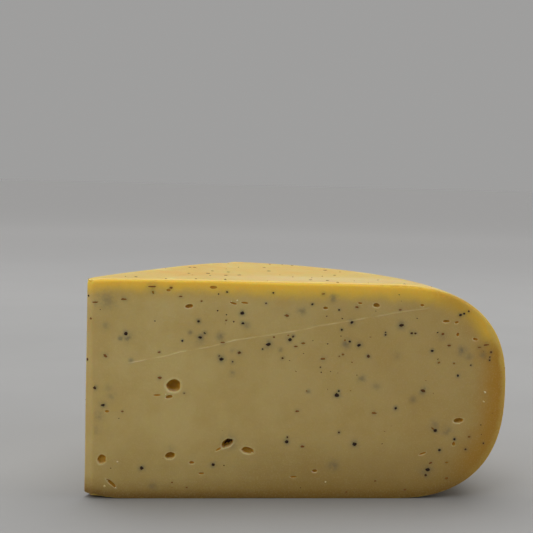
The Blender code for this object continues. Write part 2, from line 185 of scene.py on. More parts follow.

# Black truffle in the front cut, and dark pieces that fill one deep eye as painted shade: along, up, width,
# height as a share of the width, tilt in degrees
FRONT_BLACK = (
    (0.1, 88.3, 1.3, 1.0, 0), (66.2, 81.8, 2.3, 0.9, 0), (76.5, 86.2, 1.1, 0.9, 0),
    (16.3, 72.3, 2.3, 0.9, -20), (87.3, 70.4, 2.3, 0.8, 30), (88.6, 71.8, 1.5, 0.7, 35),
    (77.9, 68.3, 3.0, 0.6, 8), (65.3, 64.5, 1.8, 0.9, 0), (57.6, 61.6, 2.7, 0.7, 10),
    (56.6, 63.0, 1.4, 0.5, 60), (3.2, 48.6, 2.0, 0.8, -20), (23.9, 13.5, 2.3, 0.9, 0),
    (86.9, 25.3, 2.1, 1.0, 0), (87.2, 27.4, 1.1, 1.0, 0), (162.6, 82.3, 2.0, 0.9, 0),
    (164.1, 82.9, 1.5, 0.9, 0), (166.2, 84.0, 1.2, 1.0, 0), (117.8, 68.4, 2.3, 0.8, 20),
    (122.1, 63.5, 2.0, 0.9, 10), (162.4, 55.3, 1.5, 1.0, 0), (108.6, 46.2, 2.5, 1.1, 20),
    (109.4, 48.0, 1.2, 1.0, 0), (161.8, 26.8, 1.6, 1.0, 0), (59.5, 90.9, 1.2, 0.9, 0),
    (79.5, 90.9, 1.2, 0.9, 0), (47.3, 78.0, 1.8, 0.8, 15), (48.2, 71.0, 2.7, 0.5, 0),
    (50.1, 72.9, 1.8, 0.4, -40), (40.5, 69.4, 1.3, 0.9, 0), (84.2, 62.3, 1.4, 0.9, 0),
    (-0.1, 60.7, 1.3, 1.5, 0), (55.0, 15.1, 2.0, 0.9, 0), (96.7, 86.1, 1.3, 0.9, 0),
    (108.5, 83.8, 1.1, 1.0, 0), (136.3, 77.4, 2.9, 0.6, 8), (114.3, 78.4, 2.1, 0.9, 0),
    (109.9, 75.1, 1.3, 0.9, 0), (141.0, 73.9, 1.8, 0.8, 0), (142.6, 73.9, 1.5, 0.8, 0),
    (129.4, 74.2, 1.0, 0.9, 0), (129.4, 73.1, 1.2, 0.9, 0), (150.4, 66.2, 1.8, 0.6, 0),
    (176.9, 65.9, 1.3, 0.9, 0), (176.5, 63.7, 1.0, 0.8, 30), (176.4, 62.3, 1.1, 0.8, 0),
    (146.9, 48.4, 3.1, 0.6, -8), (135.0, 40.5, 1.8, 0.9, 0), (153.1, 30.6, 2.2, 0.8, 0),
    (155.2, 21.8, 1.8, 0.8, 0), (167.0, 22.2, 1.3, 0.9, 0), (150.2, 13.0, 3.0, 0.7, 0),
    (149.4, 10.5, 1.7, 0.9, 0), (117.1, 24.4, 2.8, 0.8, 0), (110.0, 29.6, 1.3, 0.9, 0),
    (6.9, 41.1, 2.4, 0.6, 0), (66.6, 77.4, 1.7, 0.8, 0), (113.6, 69.9, 1.5, 0.9, 0),
    (75.4, 66.2, 1.0, 0.9, 0), (62.5, 60.5, 1.1, 0.8, 0), (41.7, 46.5, 0.9, 1.0, 0),
    # The pieces near 61 along and 25 up, tilted 28 degrees, sit in the deep eye there: dark pieces standing
    # for its shade, painted shade rather than truffle
    (61.6, 25.0, 4.6, 0.5, 28), (175.0, 25.0, 1.1, 0.9, 0), (168.0, 60.0, 0.9, 0.9, 0),
    (101.0, 58.5, 0.8, 0.9, 0), (62.5, 25.5, 2.6, 0.8, 28), (60.7, 24.6, 2.4, 0.8, 28),
    (61.4, 25.6, 2.2, 0.8, 28), (62.9, 26.0, 1.8, 0.8, 28), (61.9, 24.7, 2.2, 0.8, 28),
    (60.2, 24.1, 1.6, 0.8, 28), (62.9, 25.3, 1.8, 0.8, 28),
)
# Red-brown truffle in the front cut, on the same scheme
FRONT_BROWN = (
    (27.2, 92.8, 5.0, 0.18, 0), (27.6, 90.3, 2.2, 0.6, -65), (35.3, 92.4, 1.9, 0.6, 0),
    (39.5, 88.7, 2.3, 0.35, 0), (15.2, 87.2, 3.6, 0.3, 0), (85.6, 81.0, 2.7, 0.5, -15),
    (80.3, 71.5, 1.4, 0.8, 0), (89.9, 67.5, 2.3, 0.4, 0), (93.1, 68.9, 2.2, 0.55, 8),
    (30.7, 64.4, 1.8, 0.6, 0), (7.6, 62.6, 2.8, 0.55, -35), (31.1, 53.2, 2.3, 0.6, 0),
    (91.2, 38.9, 2.3, 0.5, 0), (93.9, 23.3, 2.3, 0.6, 0), (101.4, 90.7, 2.2, 0.4, 5),
    (116.4, 85.1, 2.3, 0.45, 0), (135.6, 84.2, 1.8, 0.6, 0), (155.0, 73.8, 1.9, 0.8, 0),
    (157.9, 68.7, 2.2, 0.5, 0), (174.6, 69.1, 3.4, 0.3, 8), (171.6, 68.0, 2.4, 0.3, 5),
    (111.5, 70.5, 1.3, 0.9, 0), (110.8, 64.2, 1.6, 0.7, 0), (102.0, 62.2, 3.0, 0.4, 0),
    (153.5, 61.0, 1.8, 0.6, 15), (160.4, 60.7, 1.3, 0.9, 0), (125.4, 38.3, 2.9, 0.5, 0),
    (168.4, 27.9, 1.8, 0.6, 0), (151.4, 16.1, 2.4, 0.5, 20), (158.7, 16.3, 1.9, 0.6, 0),
    (158.9, 9.2, 2.2, 0.6, 0), (140.3, 4.0, 1.8, 0.6, 0), (126.8, 7.9, 1.3, 0.7, 0),
    (114.0, 2.9, 1.3, 0.7, 0), (37.2, 7.2, 1.3, 0.7, 0), (43.6, 5.0, 1.3, 0.7, 0),
    (3.0, 85.7, 3.4, 0.28, 4), (1.2, 78.6, 1.4, 0.9, 0), (58.0, 68.9, 2.8, 0.3, 0),
    (59.3, 78.6, 1.2, 0.6, 0), (48.5, 86.8, 1.2, 0.7, 0), (151.9, 31.5, 2.6, 0.35, -35),
    (109.2, 63.4, 1.1, 0.6, 0), (86.5, 72.3, 1.3, 0.6, 25), (15.2, 38.4, 1.6, 0.6, 0),
)
# Truffle that shows only as a blur through the paste: along, up, width, strength
VEILED = (
    (68.2, 76.6, 4.0, 0.4), (92.3, 83.0, 4.5, 0.45), (14.0, 70.3, 2.6, 0.7), (17.0, 70.4, 3.0, 0.8),
    (7.5, 75.6, 4.0, 0.3), (57.0, 71.5, 4.0, 0.55), (44.0, 73.1, 2.4, 0.55), (9.0, 48.6, 4.0, 0.2),
    (83.2, 66.0, 2.6, 0.45), (62.4, 65.4, 2.8, 0.3), (18.6, 60.6, 2.6, 0.45), (62.4, 60.4, 2.6, 0.4),
    (62.2, 55.3, 3.4, 0.5), (10.6, 45.0, 4.0, 0.3), (5.0, 36.6, 5.0, 0.35), (105.6, 88.9, 4.5, 0.5),
    (163.8, 66.3, 4.5, 0.6), (167.0, 64.0, 4.0, 0.35), (112.2, 69.0, 4.4, 0.6), (119.4, 53.4, 4.0, 0.5),
    (126.0, 50.0, 4.5, 0.3), (142.6, 44.4, 4.0, 0.4), (158.2, 30.6, 4.5, 0.45), (107.8, 14.8, 5.0, 0.5),
    (28.8, 5.6, 4.0, 0.4), (8.0, 86.8, 9.0, 0.35), (96.0, 47.6, 2.6, 0.45), (134.8, 64.0, 4.0, 0.25),
    (48.0, 70.2, 5.5, 0.35), (173.4, 64.6, 5.0, 0.4), (36.6, 22.0, 3.6, 0.3), (3.6, 30.0, 4.6, 0.25),
    (152.4, 33.0, 5.0, 0.35), (149.8, 12.2, 5.5, 0.45), (154.6, 72.6, 4.6, 0.3), (16.8, 71.0, 6.0, 0.3),
)
# Pale loose bits on the front cut: along, up, width
FRONT_CRUMBS = (
    (8.0, 5.6, 1.3), (9.2, 7.9, 0.9), (13.4, 16.3, 1.1), (104.6, 7.4, 1.0), (174.8, 48.0, 1.2),
    (174.4, 43.8, 1.0), (33.8, 46.0, 0.8), (63.9, 87.3, 1.1), (61.5, 86.9, 0.7), (71.9, 20.3, 0.8),
    (163.8, 33.8, 0.8), (12.8, 4.8, 0.8),
)
# Truffle on the flat top: along the front cut, back from it, width
TOP_TRUFFLE = (
    (20.0, 9.5, 2.0), (33.0, 3.2, 1.2), (46.0, 5.4, 1.3), (60.0, 26.0, 2.2), (66.5, 29.0, 1.9),
    (58.8, 5.4, 1.2), (104.5, 11.0, 2.2), (108.0, 2.6, 1.5), (112.0, 40.0, 2.0), (137.6, 3.0, 1.4),
    (52.5, 36.0, 2.0), (82.5, 58.0, 2.2),
)

# The line that the knife left in the front cut, from end to end
KNIFE_LINE = (
    (17.4, 59.4), (27.0, 61.4), (34.3, 62.8), (39.1, 64.4), (45.1, 65.4), (52.9, 67.0), (63.2, 69.9),
    (72.3, 71.3), (91.8, 74.5), (99.6, 76.5), (114.4, 79.1), (135.4, 83.1), (148.0, 85.0),
)


def a_number(name, description, value):
    """A plain number among the settings."""
    return FloatProperty(name=name, description=description, default=value)


def a_length(name, description, metres):
    return FloatProperty(name=name, description=description, default=metres, unit="LENGTH")


def an_angle(name, description, degrees):
    kind = {"subtype": "ANGLE", "unit": "ROTATION"}
    return FloatProperty(name=name, description=description, default=radians(degrees), **kind)


def a_colour(name, description, channels):
    kind = {"subtype": "COLOR", "size": 3}
    return FloatVectorProperty(name=name, description=description, default=channels, **kind)


def a_count(name, description, value):
    return IntProperty(name=name, description=description, default=value, min=0)


class WheelSizes(bpy.types.PropertyGroup):
    """The whole wheel that the wedge was cut from."""

    radius: a_length("Radius", "From the middle of the wheel to its rim", 0.1842)
    height: a_length("Height", "From the underside to the top", 0.096)
    widest: a_length("Widest height", "Height at which the rim stands out furthest", 0.049)
    upper_shoulder: a_length("Upper shoulder", "How far in the rounding of the top reaches", 0.0536)
    lower_shoulder: a_length("Lower shoulder", "How far in the rounding below reaches", 0.0493)
    upper_squareness: a_number("Upper squareness", "Power of the upper rounding; two is an ellipse", 2.53)
    lower_squareness: a_number("Lower squareness", "Power of the lower rounding; two is an ellipse", 2.47)
    crown: a_length("Crown", "How much lower the top lies at the rim than in the middle", 0.0011)
    corner_before_middle: a_length(
        "Corner before middle", "How far the knife's corner lies in front of the wheel's middle", 0.0066
    )


class CutSizes(bpy.types.PropertyGroup):
    """The two cuts and the wear on their edges."""

    angle: an_angle("Angle", "Between the two cuts", 60)
    bow: a_length("Bow", "How far the second cut swells out at its middle", 0.0025)
    setoff: a_length("Set-off", "How far the second cut passes outside the corner", 0.0015)
    lean: a_length("Lean", "How much further out the second cut is at its foot", 0.0012)
    nose_top: a_length("Nose at top", "How much of the corner is gone at the top", 0.0012)
    nose_base: a_length("Nose at base", "How much of the corner is gone at the base", 0.0026)
    nose_rounding: a_length(
        "Nose rounding", "How far the rounding of the nose's two edges reaches", 0.0009
    )
    soft_edge: a_length("Soft edge", "Radius of the front cut's upper edge where it is most worn", 0.0020)
    upper_edge: a_length("Upper edge", "Radius of the rest of the front cut's upper edge", 0.0015)
    nose_edge: a_length("Nose edge", "Radius of the nose's upper edge", 0.0020)
    nose_sag: a_length("Nose sag", "How far the top sinks at the nose", 0.0013)
    nose_reach: a_length("Nose reach", "How fast that sag fades", 0.0026)
    far_sag: a_length(
        "Far corner sag", "How far the top sinks where the second cut meets the shoulder", 0.0009
    )
    far_reach: a_length("Far corner reach", "How fast that sag fades", 0.012)
    rounding: a_length("Rounding", "Radius of the other cut edges", 0.0006)
    wear_lift: a_length("Worn corner lift", "How far the base is worn up under the nose", 0.0024)
    wear_length: a_length("Worn corner length", "How far along the front cut that wear runs", 0.014)
    ripple: a_length("Ripple", "Height of the slow waves that the knife left", 0.00012)
    knife_step: a_length("Knife line", "Height of the line across the front cut", 0.0003)


class FinishColours(bpy.types.PropertyGroup):
    """Colours of the paste, the rind and the truffle."""

    paste: a_colour("Paste", "Freshly cut paste", (0.635, 0.490, 0.190))
    paste_deep: a_colour("Deep paste", "Slightly darker clouds in the paste", (0.585, 0.430, 0.150))
    # Partly the paste's own yellower band under the top, partly a painted glow of light coming through the
    # top edge
    under_rind: a_colour("Under the rind", "Yellow band just under the top", (0.92, 0.635, 0.066))
    # The same painted glow, duller and more orange where the top turns down
    shoulder: a_colour("Shoulder", "Darker band where the top turns down", (0.68, 0.43, 0.045))
    skin: a_colour("Skin", "Outermost paste under the upper rim", (0.68, 0.53, 0.11))
    # Painted contact shade in the lowest millimetres of a cut, where it meets the floor
    contact_shade: a_colour("Sill", "Lowest millimetres of a cut", (0.13, 0.06, 0.012))
    dry_edge: a_colour("Dry edge", "Brown-orange zone behind the rim", (0.50, 0.255, 0.02))
    outer_paste: a_colour("Outer paste", "Riper paste towards the rim", (0.40, 0.235, 0.055))
    # Painted shade along the base and over the lower part of a cut, strongest towards the rim; the rind's
    # shoulder beside the cut is darkened with it too
    foot: a_colour("Foot", "Duller paste along the base", (0.30, 0.175, 0.028))
    rind: a_colour("Rind", "Coated rind", (0.565, 0.39, 0.08))
    rind_orange: a_colour("Orange rind", "Warmer patches of the rind", (0.585, 0.325, 0.045))
    bloom: a_colour("Bloom", "Pale dry patches on the rind", (0.66, 0.55, 0.29))
    # Painted shade inside the eyes, the deep ones darker than the shallow ones; the deep colour is also the
    # warm tone of the brown truffle
    hollow: a_colour("Eyes", "Inside of the deep eyes", (0.48, 0.25, 0.02))
    dimple: a_colour("Dimples", "Inside of the shallow eyes", (0.56, 0.27, 0.02))
    # Partly the paste's duller band, partly the painted glow fading out below the yellow band
    ochre: a_colour("Ochre", "Duller band below the yellow one", (0.66, 0.42, 0.07))
    # Pale lips of the eyes and the knife line, mostly a painted highlight where light from above catches
    # them; also the pale grain of the paste and the crumbs
    pale: a_colour("Pale lip", "Lips of the eyes and the knife line", (0.84, 0.74, 0.42))
    veil: a_colour("Veil", "Truffle seen through the paste", (0.17, 0.155, 0.105))
    black: a_colour("Black truffle", "Truffle cut through", (0.030, 0.017, 0.011))
    brown: a_colour("Brown truffle", "Smeared truffle", (0.25, 0.095, 0.022))


class TruffleSizes(bpy.types.PropertyGroup):
    """How the truffle that was not measured is spread."""

    seed: a_count("Seed", "Start of the draw", 11)
    front_specks: a_count("Front specks", "Small ones in the front cut", 46)
    second_flecks: a_count("Second cut", "Pieces in the second cut", 190)
    rind_flecks: a_count("Rind", "Pieces in the rind", 90)
    proud: a_length("Proud", "How far a piece stands out of the cheese", 0.00014)
    gap: a_length("Gap", "Least distance between pieces", 0.0016)


class StageLook(bpy.types.PropertyGroup):
    """Floor, lights and camera."""

    floor: a_colour("Floor", "Pale floor", (0.33, 0.328, 0.324))
    surroundings: a_colour("Surroundings", "Plain pale room", (0.345, 0.342, 0.338))
    overhead: a_number("Overhead light", "Power of the soft light above", 13.0)
    fill: a_number("Fill light", "Power of the soft light in front", 3.8)
    side: a_number("Side light", "Power of the soft light beside it", 2.0)
    camera_place: FloatVectorProperty(
        name="Camera place", description="From the corner of the cuts",
        default=(0.031467, -0.504759, 0.140794), subtype="TRANSLATION", unit="LENGTH", size=3,
    )
    pan: an_angle("Pan", "Camera turned about the vertical", -5.0727)
    pitch: an_angle("Pitch", "Camera tipped down", 4.3504)
    roll: an_angle("Roll", "Camera turned about its own view", 1.3479)
    lens: a_number("Lens", "Focal length in millimetres", 79.34)


def rounded(distance, radius):
    """How far a point of a face near an edge goes in from the edge and in from its face."""
    near = np.clip(distance, 0, radius)
    reach = radius * EDGE_MIDDLE + near * (1 - EDGE_MIDDLE)
    sink = radius - np.sqrt(np.maximum(radius**2 - (radius - reach) ** 2, 0))
    inside = distance < radius
    return np.where(inside, reach - near, 0), np.where(inside, sink, 0)


def edge_steps(length, step):
    """Distances from an edge: close together over its rounding, then evenly to the length."""
    left = length - EDGE_ROWS[-1]
    count = max(1, round(left / step))
    return [*EDGE_ROWS, *(EDGE_ROWS[-1] + left * (index + 1) / count for index in range(count))]


def nearest(points, line, closed=False):
    """How far each point is from a line of points, and the way out to it.

    The inside is on the right of the line, which gives the way out for a point on the line itself.
    """
    runs = np.diff(np.concatenate((line, line[:1])) if closed else line, axis=0)
    lengths = np.maximum((runs**2).sum(1), 1e-18)
    best = np.full(len(points), np.inf)
    outward = np.zeros((len(points), 2))
    for start, run, length in zip(line, runs, lengths):
        share = np.clip(((points - start) @ run) / length, 0, 1)
        offset = start + share[:, None] * run - points
        distance = np.hypot(offset[:, 0], offset[:, 1])
        nearer = distance < best
        best[nearer] = distance[nearer]
        left = np.array((-run[1], run[0])) / sqrt(length)
        on_line = distance < ON_THE_LINE
        way = np.where(on_line[:, None], left, offset / np.maximum(distance, ON_THE_LINE)[:, None])
        outward[nearer] = way[nearer]
    return best, outward


class Wedge:
    """The form of the wedge before its edges are rounded, from the corner of its cuts."""

    def __init__(self, wheel, cut):
        self.wheel = wheel
        self.cut = cut
        self.middle = wheel.corner_before_middle
        self.along = np.array((cos(cut.angle), sin(cut.angle)))
        self.out = np.array((-sin(cut.angle), cos(cut.angle)))
        self.length = wheel.radius + self.middle * sin(cut.angle)

    def second_out(self, along, height):
        """How far the second cut lies outside the line from the corner."""
        share = along / self.length
        leaning = self.cut.lean * (1 - height / self.wheel.height)
        return self.cut.setoff + 4 * self.cut.bow * share * (1 - share) + leaning

    def from_cuts(self, points):
        """How far points lie inside the nearer of the two cuts, in plan."""
        inside = [self.second_out(*place) for place in zip(points[:, :2] @ self.along, points[:, 2])]
        return np.maximum(np.minimum(points[:, 1], inside - points[:, :2] @ self.out), 0)

    def second_point(self, along, height):
        """A point of the second cut, in plan."""
        return along * self.along + self.second_out(along, height) * self.out

    def on_second(self, radius, height):
        """How far along the second cut a circle about the wheel's middle meets it."""
        axis = np.array((0, self.middle))
        along = radius
        for _ in range(6):
            off = axis @ self.out - self.second_out(along, height)
            along = axis @ self.along + sqrt(radius**2 - off**2)
        return along

    def rim_half(self, upper):
        """The height, depth and squareness of the rim's upper or lower half."""
        wheel = self.wheel
        if upper:
            return wheel.height - wheel.widest, wheel.upper_shoulder, wheel.upper_squareness
        return wheel.widest, wheel.lower_shoulder, wheel.lower_squareness

    def on_cut(self, along, height, margin):
        """Whether a place of the second cut is at least a margin inside the rim."""
        wheel = self.wheel
        room, shoulder, squareness = self.rim_half(height > wheel.widest)
        rise = abs(height - wheel.widest) / room
        across = (1 - min(rise, 1) ** squareness) ** (1 / squareness)
        return along < self.on_second(wheel.radius - shoulder + shoulder * across, height) - margin

    def edge_radius(self, alongs, heights):
        """The radius of the front cut's edge: softest on top, from a third of its length to the rim."""
        start, full, wane, end = (share * self.wheel.radius for share in SOFT_EDGE_SPAN)
        soft = np.clip((alongs - start) / (full - start), 0, 1)
        soft *= np.clip((end - alongs) / (end - wane), 0, 1)
        upper = self.cut.upper_edge + (self.cut.soft_edge - self.cut.upper_edge) * soft
        return self.cut.rounding + (upper - self.cut.rounding) * self.high(heights)

    def high(self, heights):
        """One at the top, falling to zero at three quarters of the height."""
        return np.clip((heights / self.wheel.height - 0.75) / 0.2, 0, 1)

    def nose_radius(self, heights):
        """The radius of the nose's edges on the flats: soft on top, sharp at the base."""
        return self.cut.rounding + (self.cut.nose_edge - self.cut.rounding) * self.high(heights)

    def crowned(self, radius, height):
        """The height of a point of the wheel's section once the top falls away to the rim."""
        above = max(0.0, (height - self.wheel.widest) / (self.wheel.height - self.wheel.widest))
        return height - self.wheel.crown * (radius / self.wheel.radius) ** 2 * above

    def nose(self, height):
        """The plan of the blunt nose, a slant with rounded ends from the front cut to the second."""
        share = height / self.wheel.height
        worn = self.cut.nose_base + (self.cut.nose_top - self.cut.nose_base) * share
        further = worn + NOSE_ARM
        second = [self.second_point(along, height) for along in (worn, further)]
        corners = np.array([(further, 0), (worn, 0), *second])
        shares = np.linspace(0, 1, NOSE_POINTS)[:, None]
        path = []
        for before, corner, after in zip(corners, corners[1:], corners[2:]):
            start, end = (
                corner + self.cut.nose_rounding * (other - corner) / hypot(*(other - corner))
                for other in (before, after)
            )
            path.append((1 - shares) ** 2 * start + 2 * shares * (1 - shares) * corner + shares**2 * end)
        path[1][-1] = self.second_point(path[1][-1] @ self.along, height)
        return np.concatenate(path)

    def section(self, upper, steps):
        """Points of one shoulder from its level end to the widest height, as radius, height, normal."""
        wheel = self.wheel
        room, shoulder, squareness = self.rim_half(upper)
        power = 2 / squareness
        rows = []
        for step in range(steps + 1):
            turn = pi / 2 * step / steps
            across, rise = sin(turn) ** power, cos(turn) ** power
            radius = wheel.radius - shoulder + shoulder * across
            height = wheel.widest + room * rise * (1 if upper else -1)
            slope = Vector((across ** (squareness - 1) / shoulder, rise ** (squareness - 1) / room))
            slope.normalize()
            normal = (slope.x, slope.y if upper else -slope.y)
            rows.append((radius, self.crowned(radius, height), normal))
        return rows


def hill(values, middle, breadth):
    """One at a middle, falling smoothly to nought over a breadth on both sides."""
    return np.exp(-(((values - middle) / breadth) ** 2))


def path_points(path, shares):
    """Points at shares of the length of a path."""
    runs = np.hypot(*np.diff(path, axis=0).T)
    reached = np.concatenate(([0], np.cumsum(runs)))
    wanted = np.array(shares) * reached[-1]
    return np.stack([np.interp(wanted, reached, path[:, axis]) for axis in (0, 1)], 1)


def column_shares(width, columns):
    """Where the columns cross the rind: fine at both cuts, even between, as shares of its width."""
    fine = edge_steps(*FINE_COLUMNS)
    middle = columns - 2 * len(fine)
    span = width - 2 * fine[-1]
    between = [fine[-1] + span * (index + 1) / (middle + 1) for index in range(middle)]
    return np.array(fine + between + [width - step for step in reversed(fine)]) / width


def rim_rows(wedge, shoulder, columns):
    """Rows across the rim, one for each point of a shoulder's section."""
    rows = []
    for radius, level, normal in shoulder:
        first = atan2(-wedge.middle, sqrt(radius**2 - wedge.middle**2))
        end = wedge.second_point(wedge.on_second(radius, level), level)
        last = atan2(end[1] - wedge.middle, end[0])
        angles = first + (last - first) * column_shares(radius * (last - first), columns)
        right, back = np.cos(angles), np.sin(angles)
        plan = np.stack((radius * right, wedge.middle + radius * back), 1)
        plan[-1] = end
        normals = np.column_stack((normal[0] * right, normal[0] * back, np.full(columns, normal[1])))
        rows.append((np.column_stack((plan, np.full(columns, level))), normals, "rim"))
    return rows


def flat_rows(wedge, upper, radius, reach, columns, step):
    """Rows across the top or the base, from the nose to where the shoulder starts."""
    height = wedge.wheel.height if upper else 0.0
    start = path_points(wedge.nose(height), np.linspace(0, 1, columns))
    near_along = start[-1] @ wedge.along
    far_along = wedge.on_second(radius, height)
    weights = np.linspace(0, 1, columns)[:, None] ** 2
    normals = np.tile((0.0, 0.0, 1.0 if upper else -1.0), (columns, 1))
    rows = []
    for distance in edge_steps(radius - start[0][0], step)[:-1]:
        share = distance / (radius - start[0][0])
        along = near_along + (far_along - near_along) * share
        straight = start[-1] + (reach[-1] - start[-1]) * share
        bowed = wedge.second_point(along, height) - straight
        plan = start + (reach - start) * share + weights * bowed
        radii = np.hypot(plan[:, 0], plan[:, 1] - wedge.middle)
        levels = [wedge.crowned(distance_out, height) for distance_out in radii]
        rows.append((np.column_stack((plan, levels)), normals, "top" if upper else "base"))
    return rows


def nose_rows(wedge, columns, step):
    """Rows up the nose, between the base and the top."""
    height = wedge.wheel.height
    steps = edge_steps(height / 2, step)[1:]
    rows = []
    for level in steps[:-1] + [height - distance for distance in reversed(steps)]:
        plan = path_points(wedge.nose(level), np.linspace(0, 1, columns))
        way = np.gradient(plan, axis=0)
        way /= np.hypot(way[:, 0], way[:, 1])[:, None]
        normals = np.column_stack((-way[:, 1], way[:, 0], np.zeros(columns)))
        rows.append((np.column_stack((plan, np.full(columns, level))), normals, "nose"))
    return rows


def rind_rows(wedge, columns, step):
    """The rind as rows of points, round the section from the nose over the top, rim and base and
    back up the nose. Each row comes with its normals and with the kind of face it lies on.
    """
    rows = []
    for upper in (True, False):
        shoulder = wedge.section(upper, SHOULDER_STEPS)
        rim = rim_rows(wedge, shoulder, columns)
        flat = flat_rows(wedge, upper, shoulder[0][0], rim[0][0][:, :2], columns, step)
        rows += flat + rim if upper else rim[-2::-1] + flat[::-1]
    return rows + nose_rows(wedge, columns, step)


def plan_outline(wedge, height):
    """The plan of both cuts and the nose at a height, from rim to rim."""
    nose = wedge.nose(height)
    reach = wedge.wheel.radius * PLAN_REACH
    alongs = np.linspace(nose[-1] @ wedge.along, reach, PLAN_POINTS)[1:]
    second = np.array([wedge.second_point(along, height) for along in alongs])
    return np.concatenate(([(reach, 0.0)], nose, second))


def round_rind(wedge, points, normals, kind):
    """Rounds one row of the rind off to the two cuts and, on the flats, to the nose."""
    cut, height = wedge.cut, wedge.wheel.height
    moved = points.copy()
    if kind == "nose":
        for level, sign in ((height, -1), (0.0, 1)):
            shift, sink = rounded(np.abs(level - points[:, 2]), wedge.nose_radius(points[:, 2]))
            moved -= normals * sink[:, None]
            moved[:, 2] += sign * shift
        return moved
    soft = wedge.edge_radius(points[:, 0], points[:, 2])
    if kind in ("top", "base"):
        distance, outward = nearest(points[:, :2], plan_outline(wedge, height if kind == "top" else 0.0))
        radius = np.where(outward[:, 1] < -0.9, soft, cut.rounding)
        radius = np.where(outward[:, 0] < -0.9, wedge.nose_radius(points[:, 2]), radius)
        shift, sink = rounded(distance, radius)
        moved[:, :2] -= outward * shift[:, None]
        moved[:, 2] -= normals[:, 2] * sink
        return moved
    alongs = points[:, :2] @ wedge.along
    outs = np.array([wedge.second_out(along, level) for along, level in zip(alongs, points[:, 2])])
    from_second = outs - points[:, :2] @ wedge.out
    for distance, outward, radius in (
        (points[:, 1], np.array((0.0, -1.0)), soft),
        (from_second, wedge.out, cut.rounding),
    ):
        shift, sink = rounded(np.maximum(distance, 0), radius)
        moved[:, :2] -= outward * shift[:, None]
        moved -= normals * sink[:, None]
    return moved


def wander(places, size, seed):
    """Smooth noise at places, with waves about as long as the size."""
    start = Vector((seed, 2 * seed, 3 * seed))
    return np.array([noise.noise(Vector(place) / size + start) for place in places])


class Spread:
    """Points laid in a face, each kept only where it is clear of those before it."""

    def __init__(self, cell):
        self.cell = cell
        self.cells = {}
        self.points = []

    def add(self, points, gap):
        for x, y in points:
            column, row = int(x // self.cell), int(y // self.cell)
            near = (self.cells.get((column + i, row + j), ()) for i in (-1, 0, 1) for j in (-1, 0, 1))
            if all(hypot(x - a, y - b) >= gap for cell in near for a, b in cell):
                self.cells.setdefault((column, row), []).append((x, y))
                self.points.append((x, y))


class Eye:
    """One eye: a bowl with an uneven mouth."""

    def __init__(self, row, draw):
        along, up, width, height, depth, tilt, self.lip = row
        self.centre = np.array((along, up)) * MM
        self.half = np.array((width, height)) / 2 * MM
        self.depth = depth * MM
        turn = radians(tilt)
        self.turn = np.array(((cos(turn), sin(turn)), (-sin(turn), cos(turn))))
        self.waves = [
            (waves, draw.uniform(0.3, 1) * MOUTH_UNEVENNESS / sqrt(waves), draw.uniform(0, 2 * pi))
            for waves in MOUTH_WAVES
        ]

    def mouth(self, angles):
        """The uneven radius of the mouth, near one, at angles about the middle."""
        return 1 + sum(size * np.cos(waves * angles + phase) for waves, size, phase in self.waves)

    def share(self, points):
        """How far points lie from the middle, where the mouth is at one, and their angles."""
        local = (points - self.centre) @ self.turn.T / self.half
        angles = np.arctan2(local[:, 1], local[:, 0])
        return np.hypot(local[:, 0], local[:, 1]) / self.mouth(angles), angles

    def rings(self):
        """Points close together over the mouth of the eye."""
        count = int(np.clip(2 * pi * self.half.max() / (0.4 * MM), 14, 40))
        angles = np.linspace(0, 2 * pi, count, endpoint=False)
        for share in EYE_RINGS:
            reach = share * self.mouth(angles)
            local = np.stack((reach * np.cos(angles), reach * np.sin(angles)), 1) * self.half
            yield local @ self.turn + self.centre


def relief_of(points, eyes, knife_line, cut, seed):
    """The height of a cut at points of it, how hollow it is there, which also sets the painted shade in its
    eyes, and how pale its lips are, mostly as a painted highlight.
    """
    height = cut.ripple * wander([(x, y, 0) for x, y in points], RIPPLE_LENGTH, seed)
    height += 0.35 * cut.ripple * wander([(0.3 * x, y, 0) for x, y in points], FINE_RIPPLE_LENGTH, seed)
    hollow = np.zeros(len(points))
    lip = np.zeros(len(points))
    for eye in eyes:
        share, angles = eye.share(points)
        bowl = np.clip(1 - np.clip(share, 0, 1) ** 2.6, 0, 1) ** 0.62
        height += eye.depth * (0.045 * hill(share, *RAISED_LIP) - 0.85 * bowl)
        # Deeper eyes get a stronger hollow mark and so are painted darker: painted shade
        shown = min(1, 0.35 + eye.depth / (2.6 * MM))
        hollow = np.maximum(hollow, shown * np.clip((1.03 - share) / 0.16, 0, 1))
        # Painted highlight: the pale lips are strongest on the lower side, where light from above falls
        lower = np.clip(-np.sin(angles + 0.3), 0, 1)
        outer = hill(share, *PALE_AND_HIGHLIGHT_OUTSIDE) * (0.2 + 0.8 * lower)
        inner_highlight = 0.75 * hill(share, *HIGHLIGHT_INSIDE) * lower**2
        lip = np.maximum(lip, 0.85 * eye.lip * np.maximum(outer, inner_highlight))
    if len(knife_line):
        distance, way = nearest(points, knife_line)
        strong = np.clip(0.5 + 1.3 * wander([(x, 0, 0) for x, _ in points], 6 * MM, seed + 1), 0.1, 1)
        line = strong * hill(distance, 0, 0.22 * MM)
        step = np.sign(way[:, 1]) * np.clip(distance / (0.6 * MM), 0, 1) * np.exp(-distance / (3 * MM))
        height += cut.knife_step * (line + 0.4 * strong * step)
        # The knife line's ridge is painted pale: a painted highlight
        lip = np.maximum(lip, 0.5 * line)
    return height, hollow, lip


def veil_of(points, veils):
    """How much truffle shows through the paste at points."""
    veil = np.zeros(len(points))
    for along, up, width, strength in veils:
        squared = ((points - np.array((along, up)) * MM) ** 2).sum(1) / (width * MM / 2) ** 2
        veil = np.maximum(veil, strength * np.exp(-1.3 * squared))
    return veil


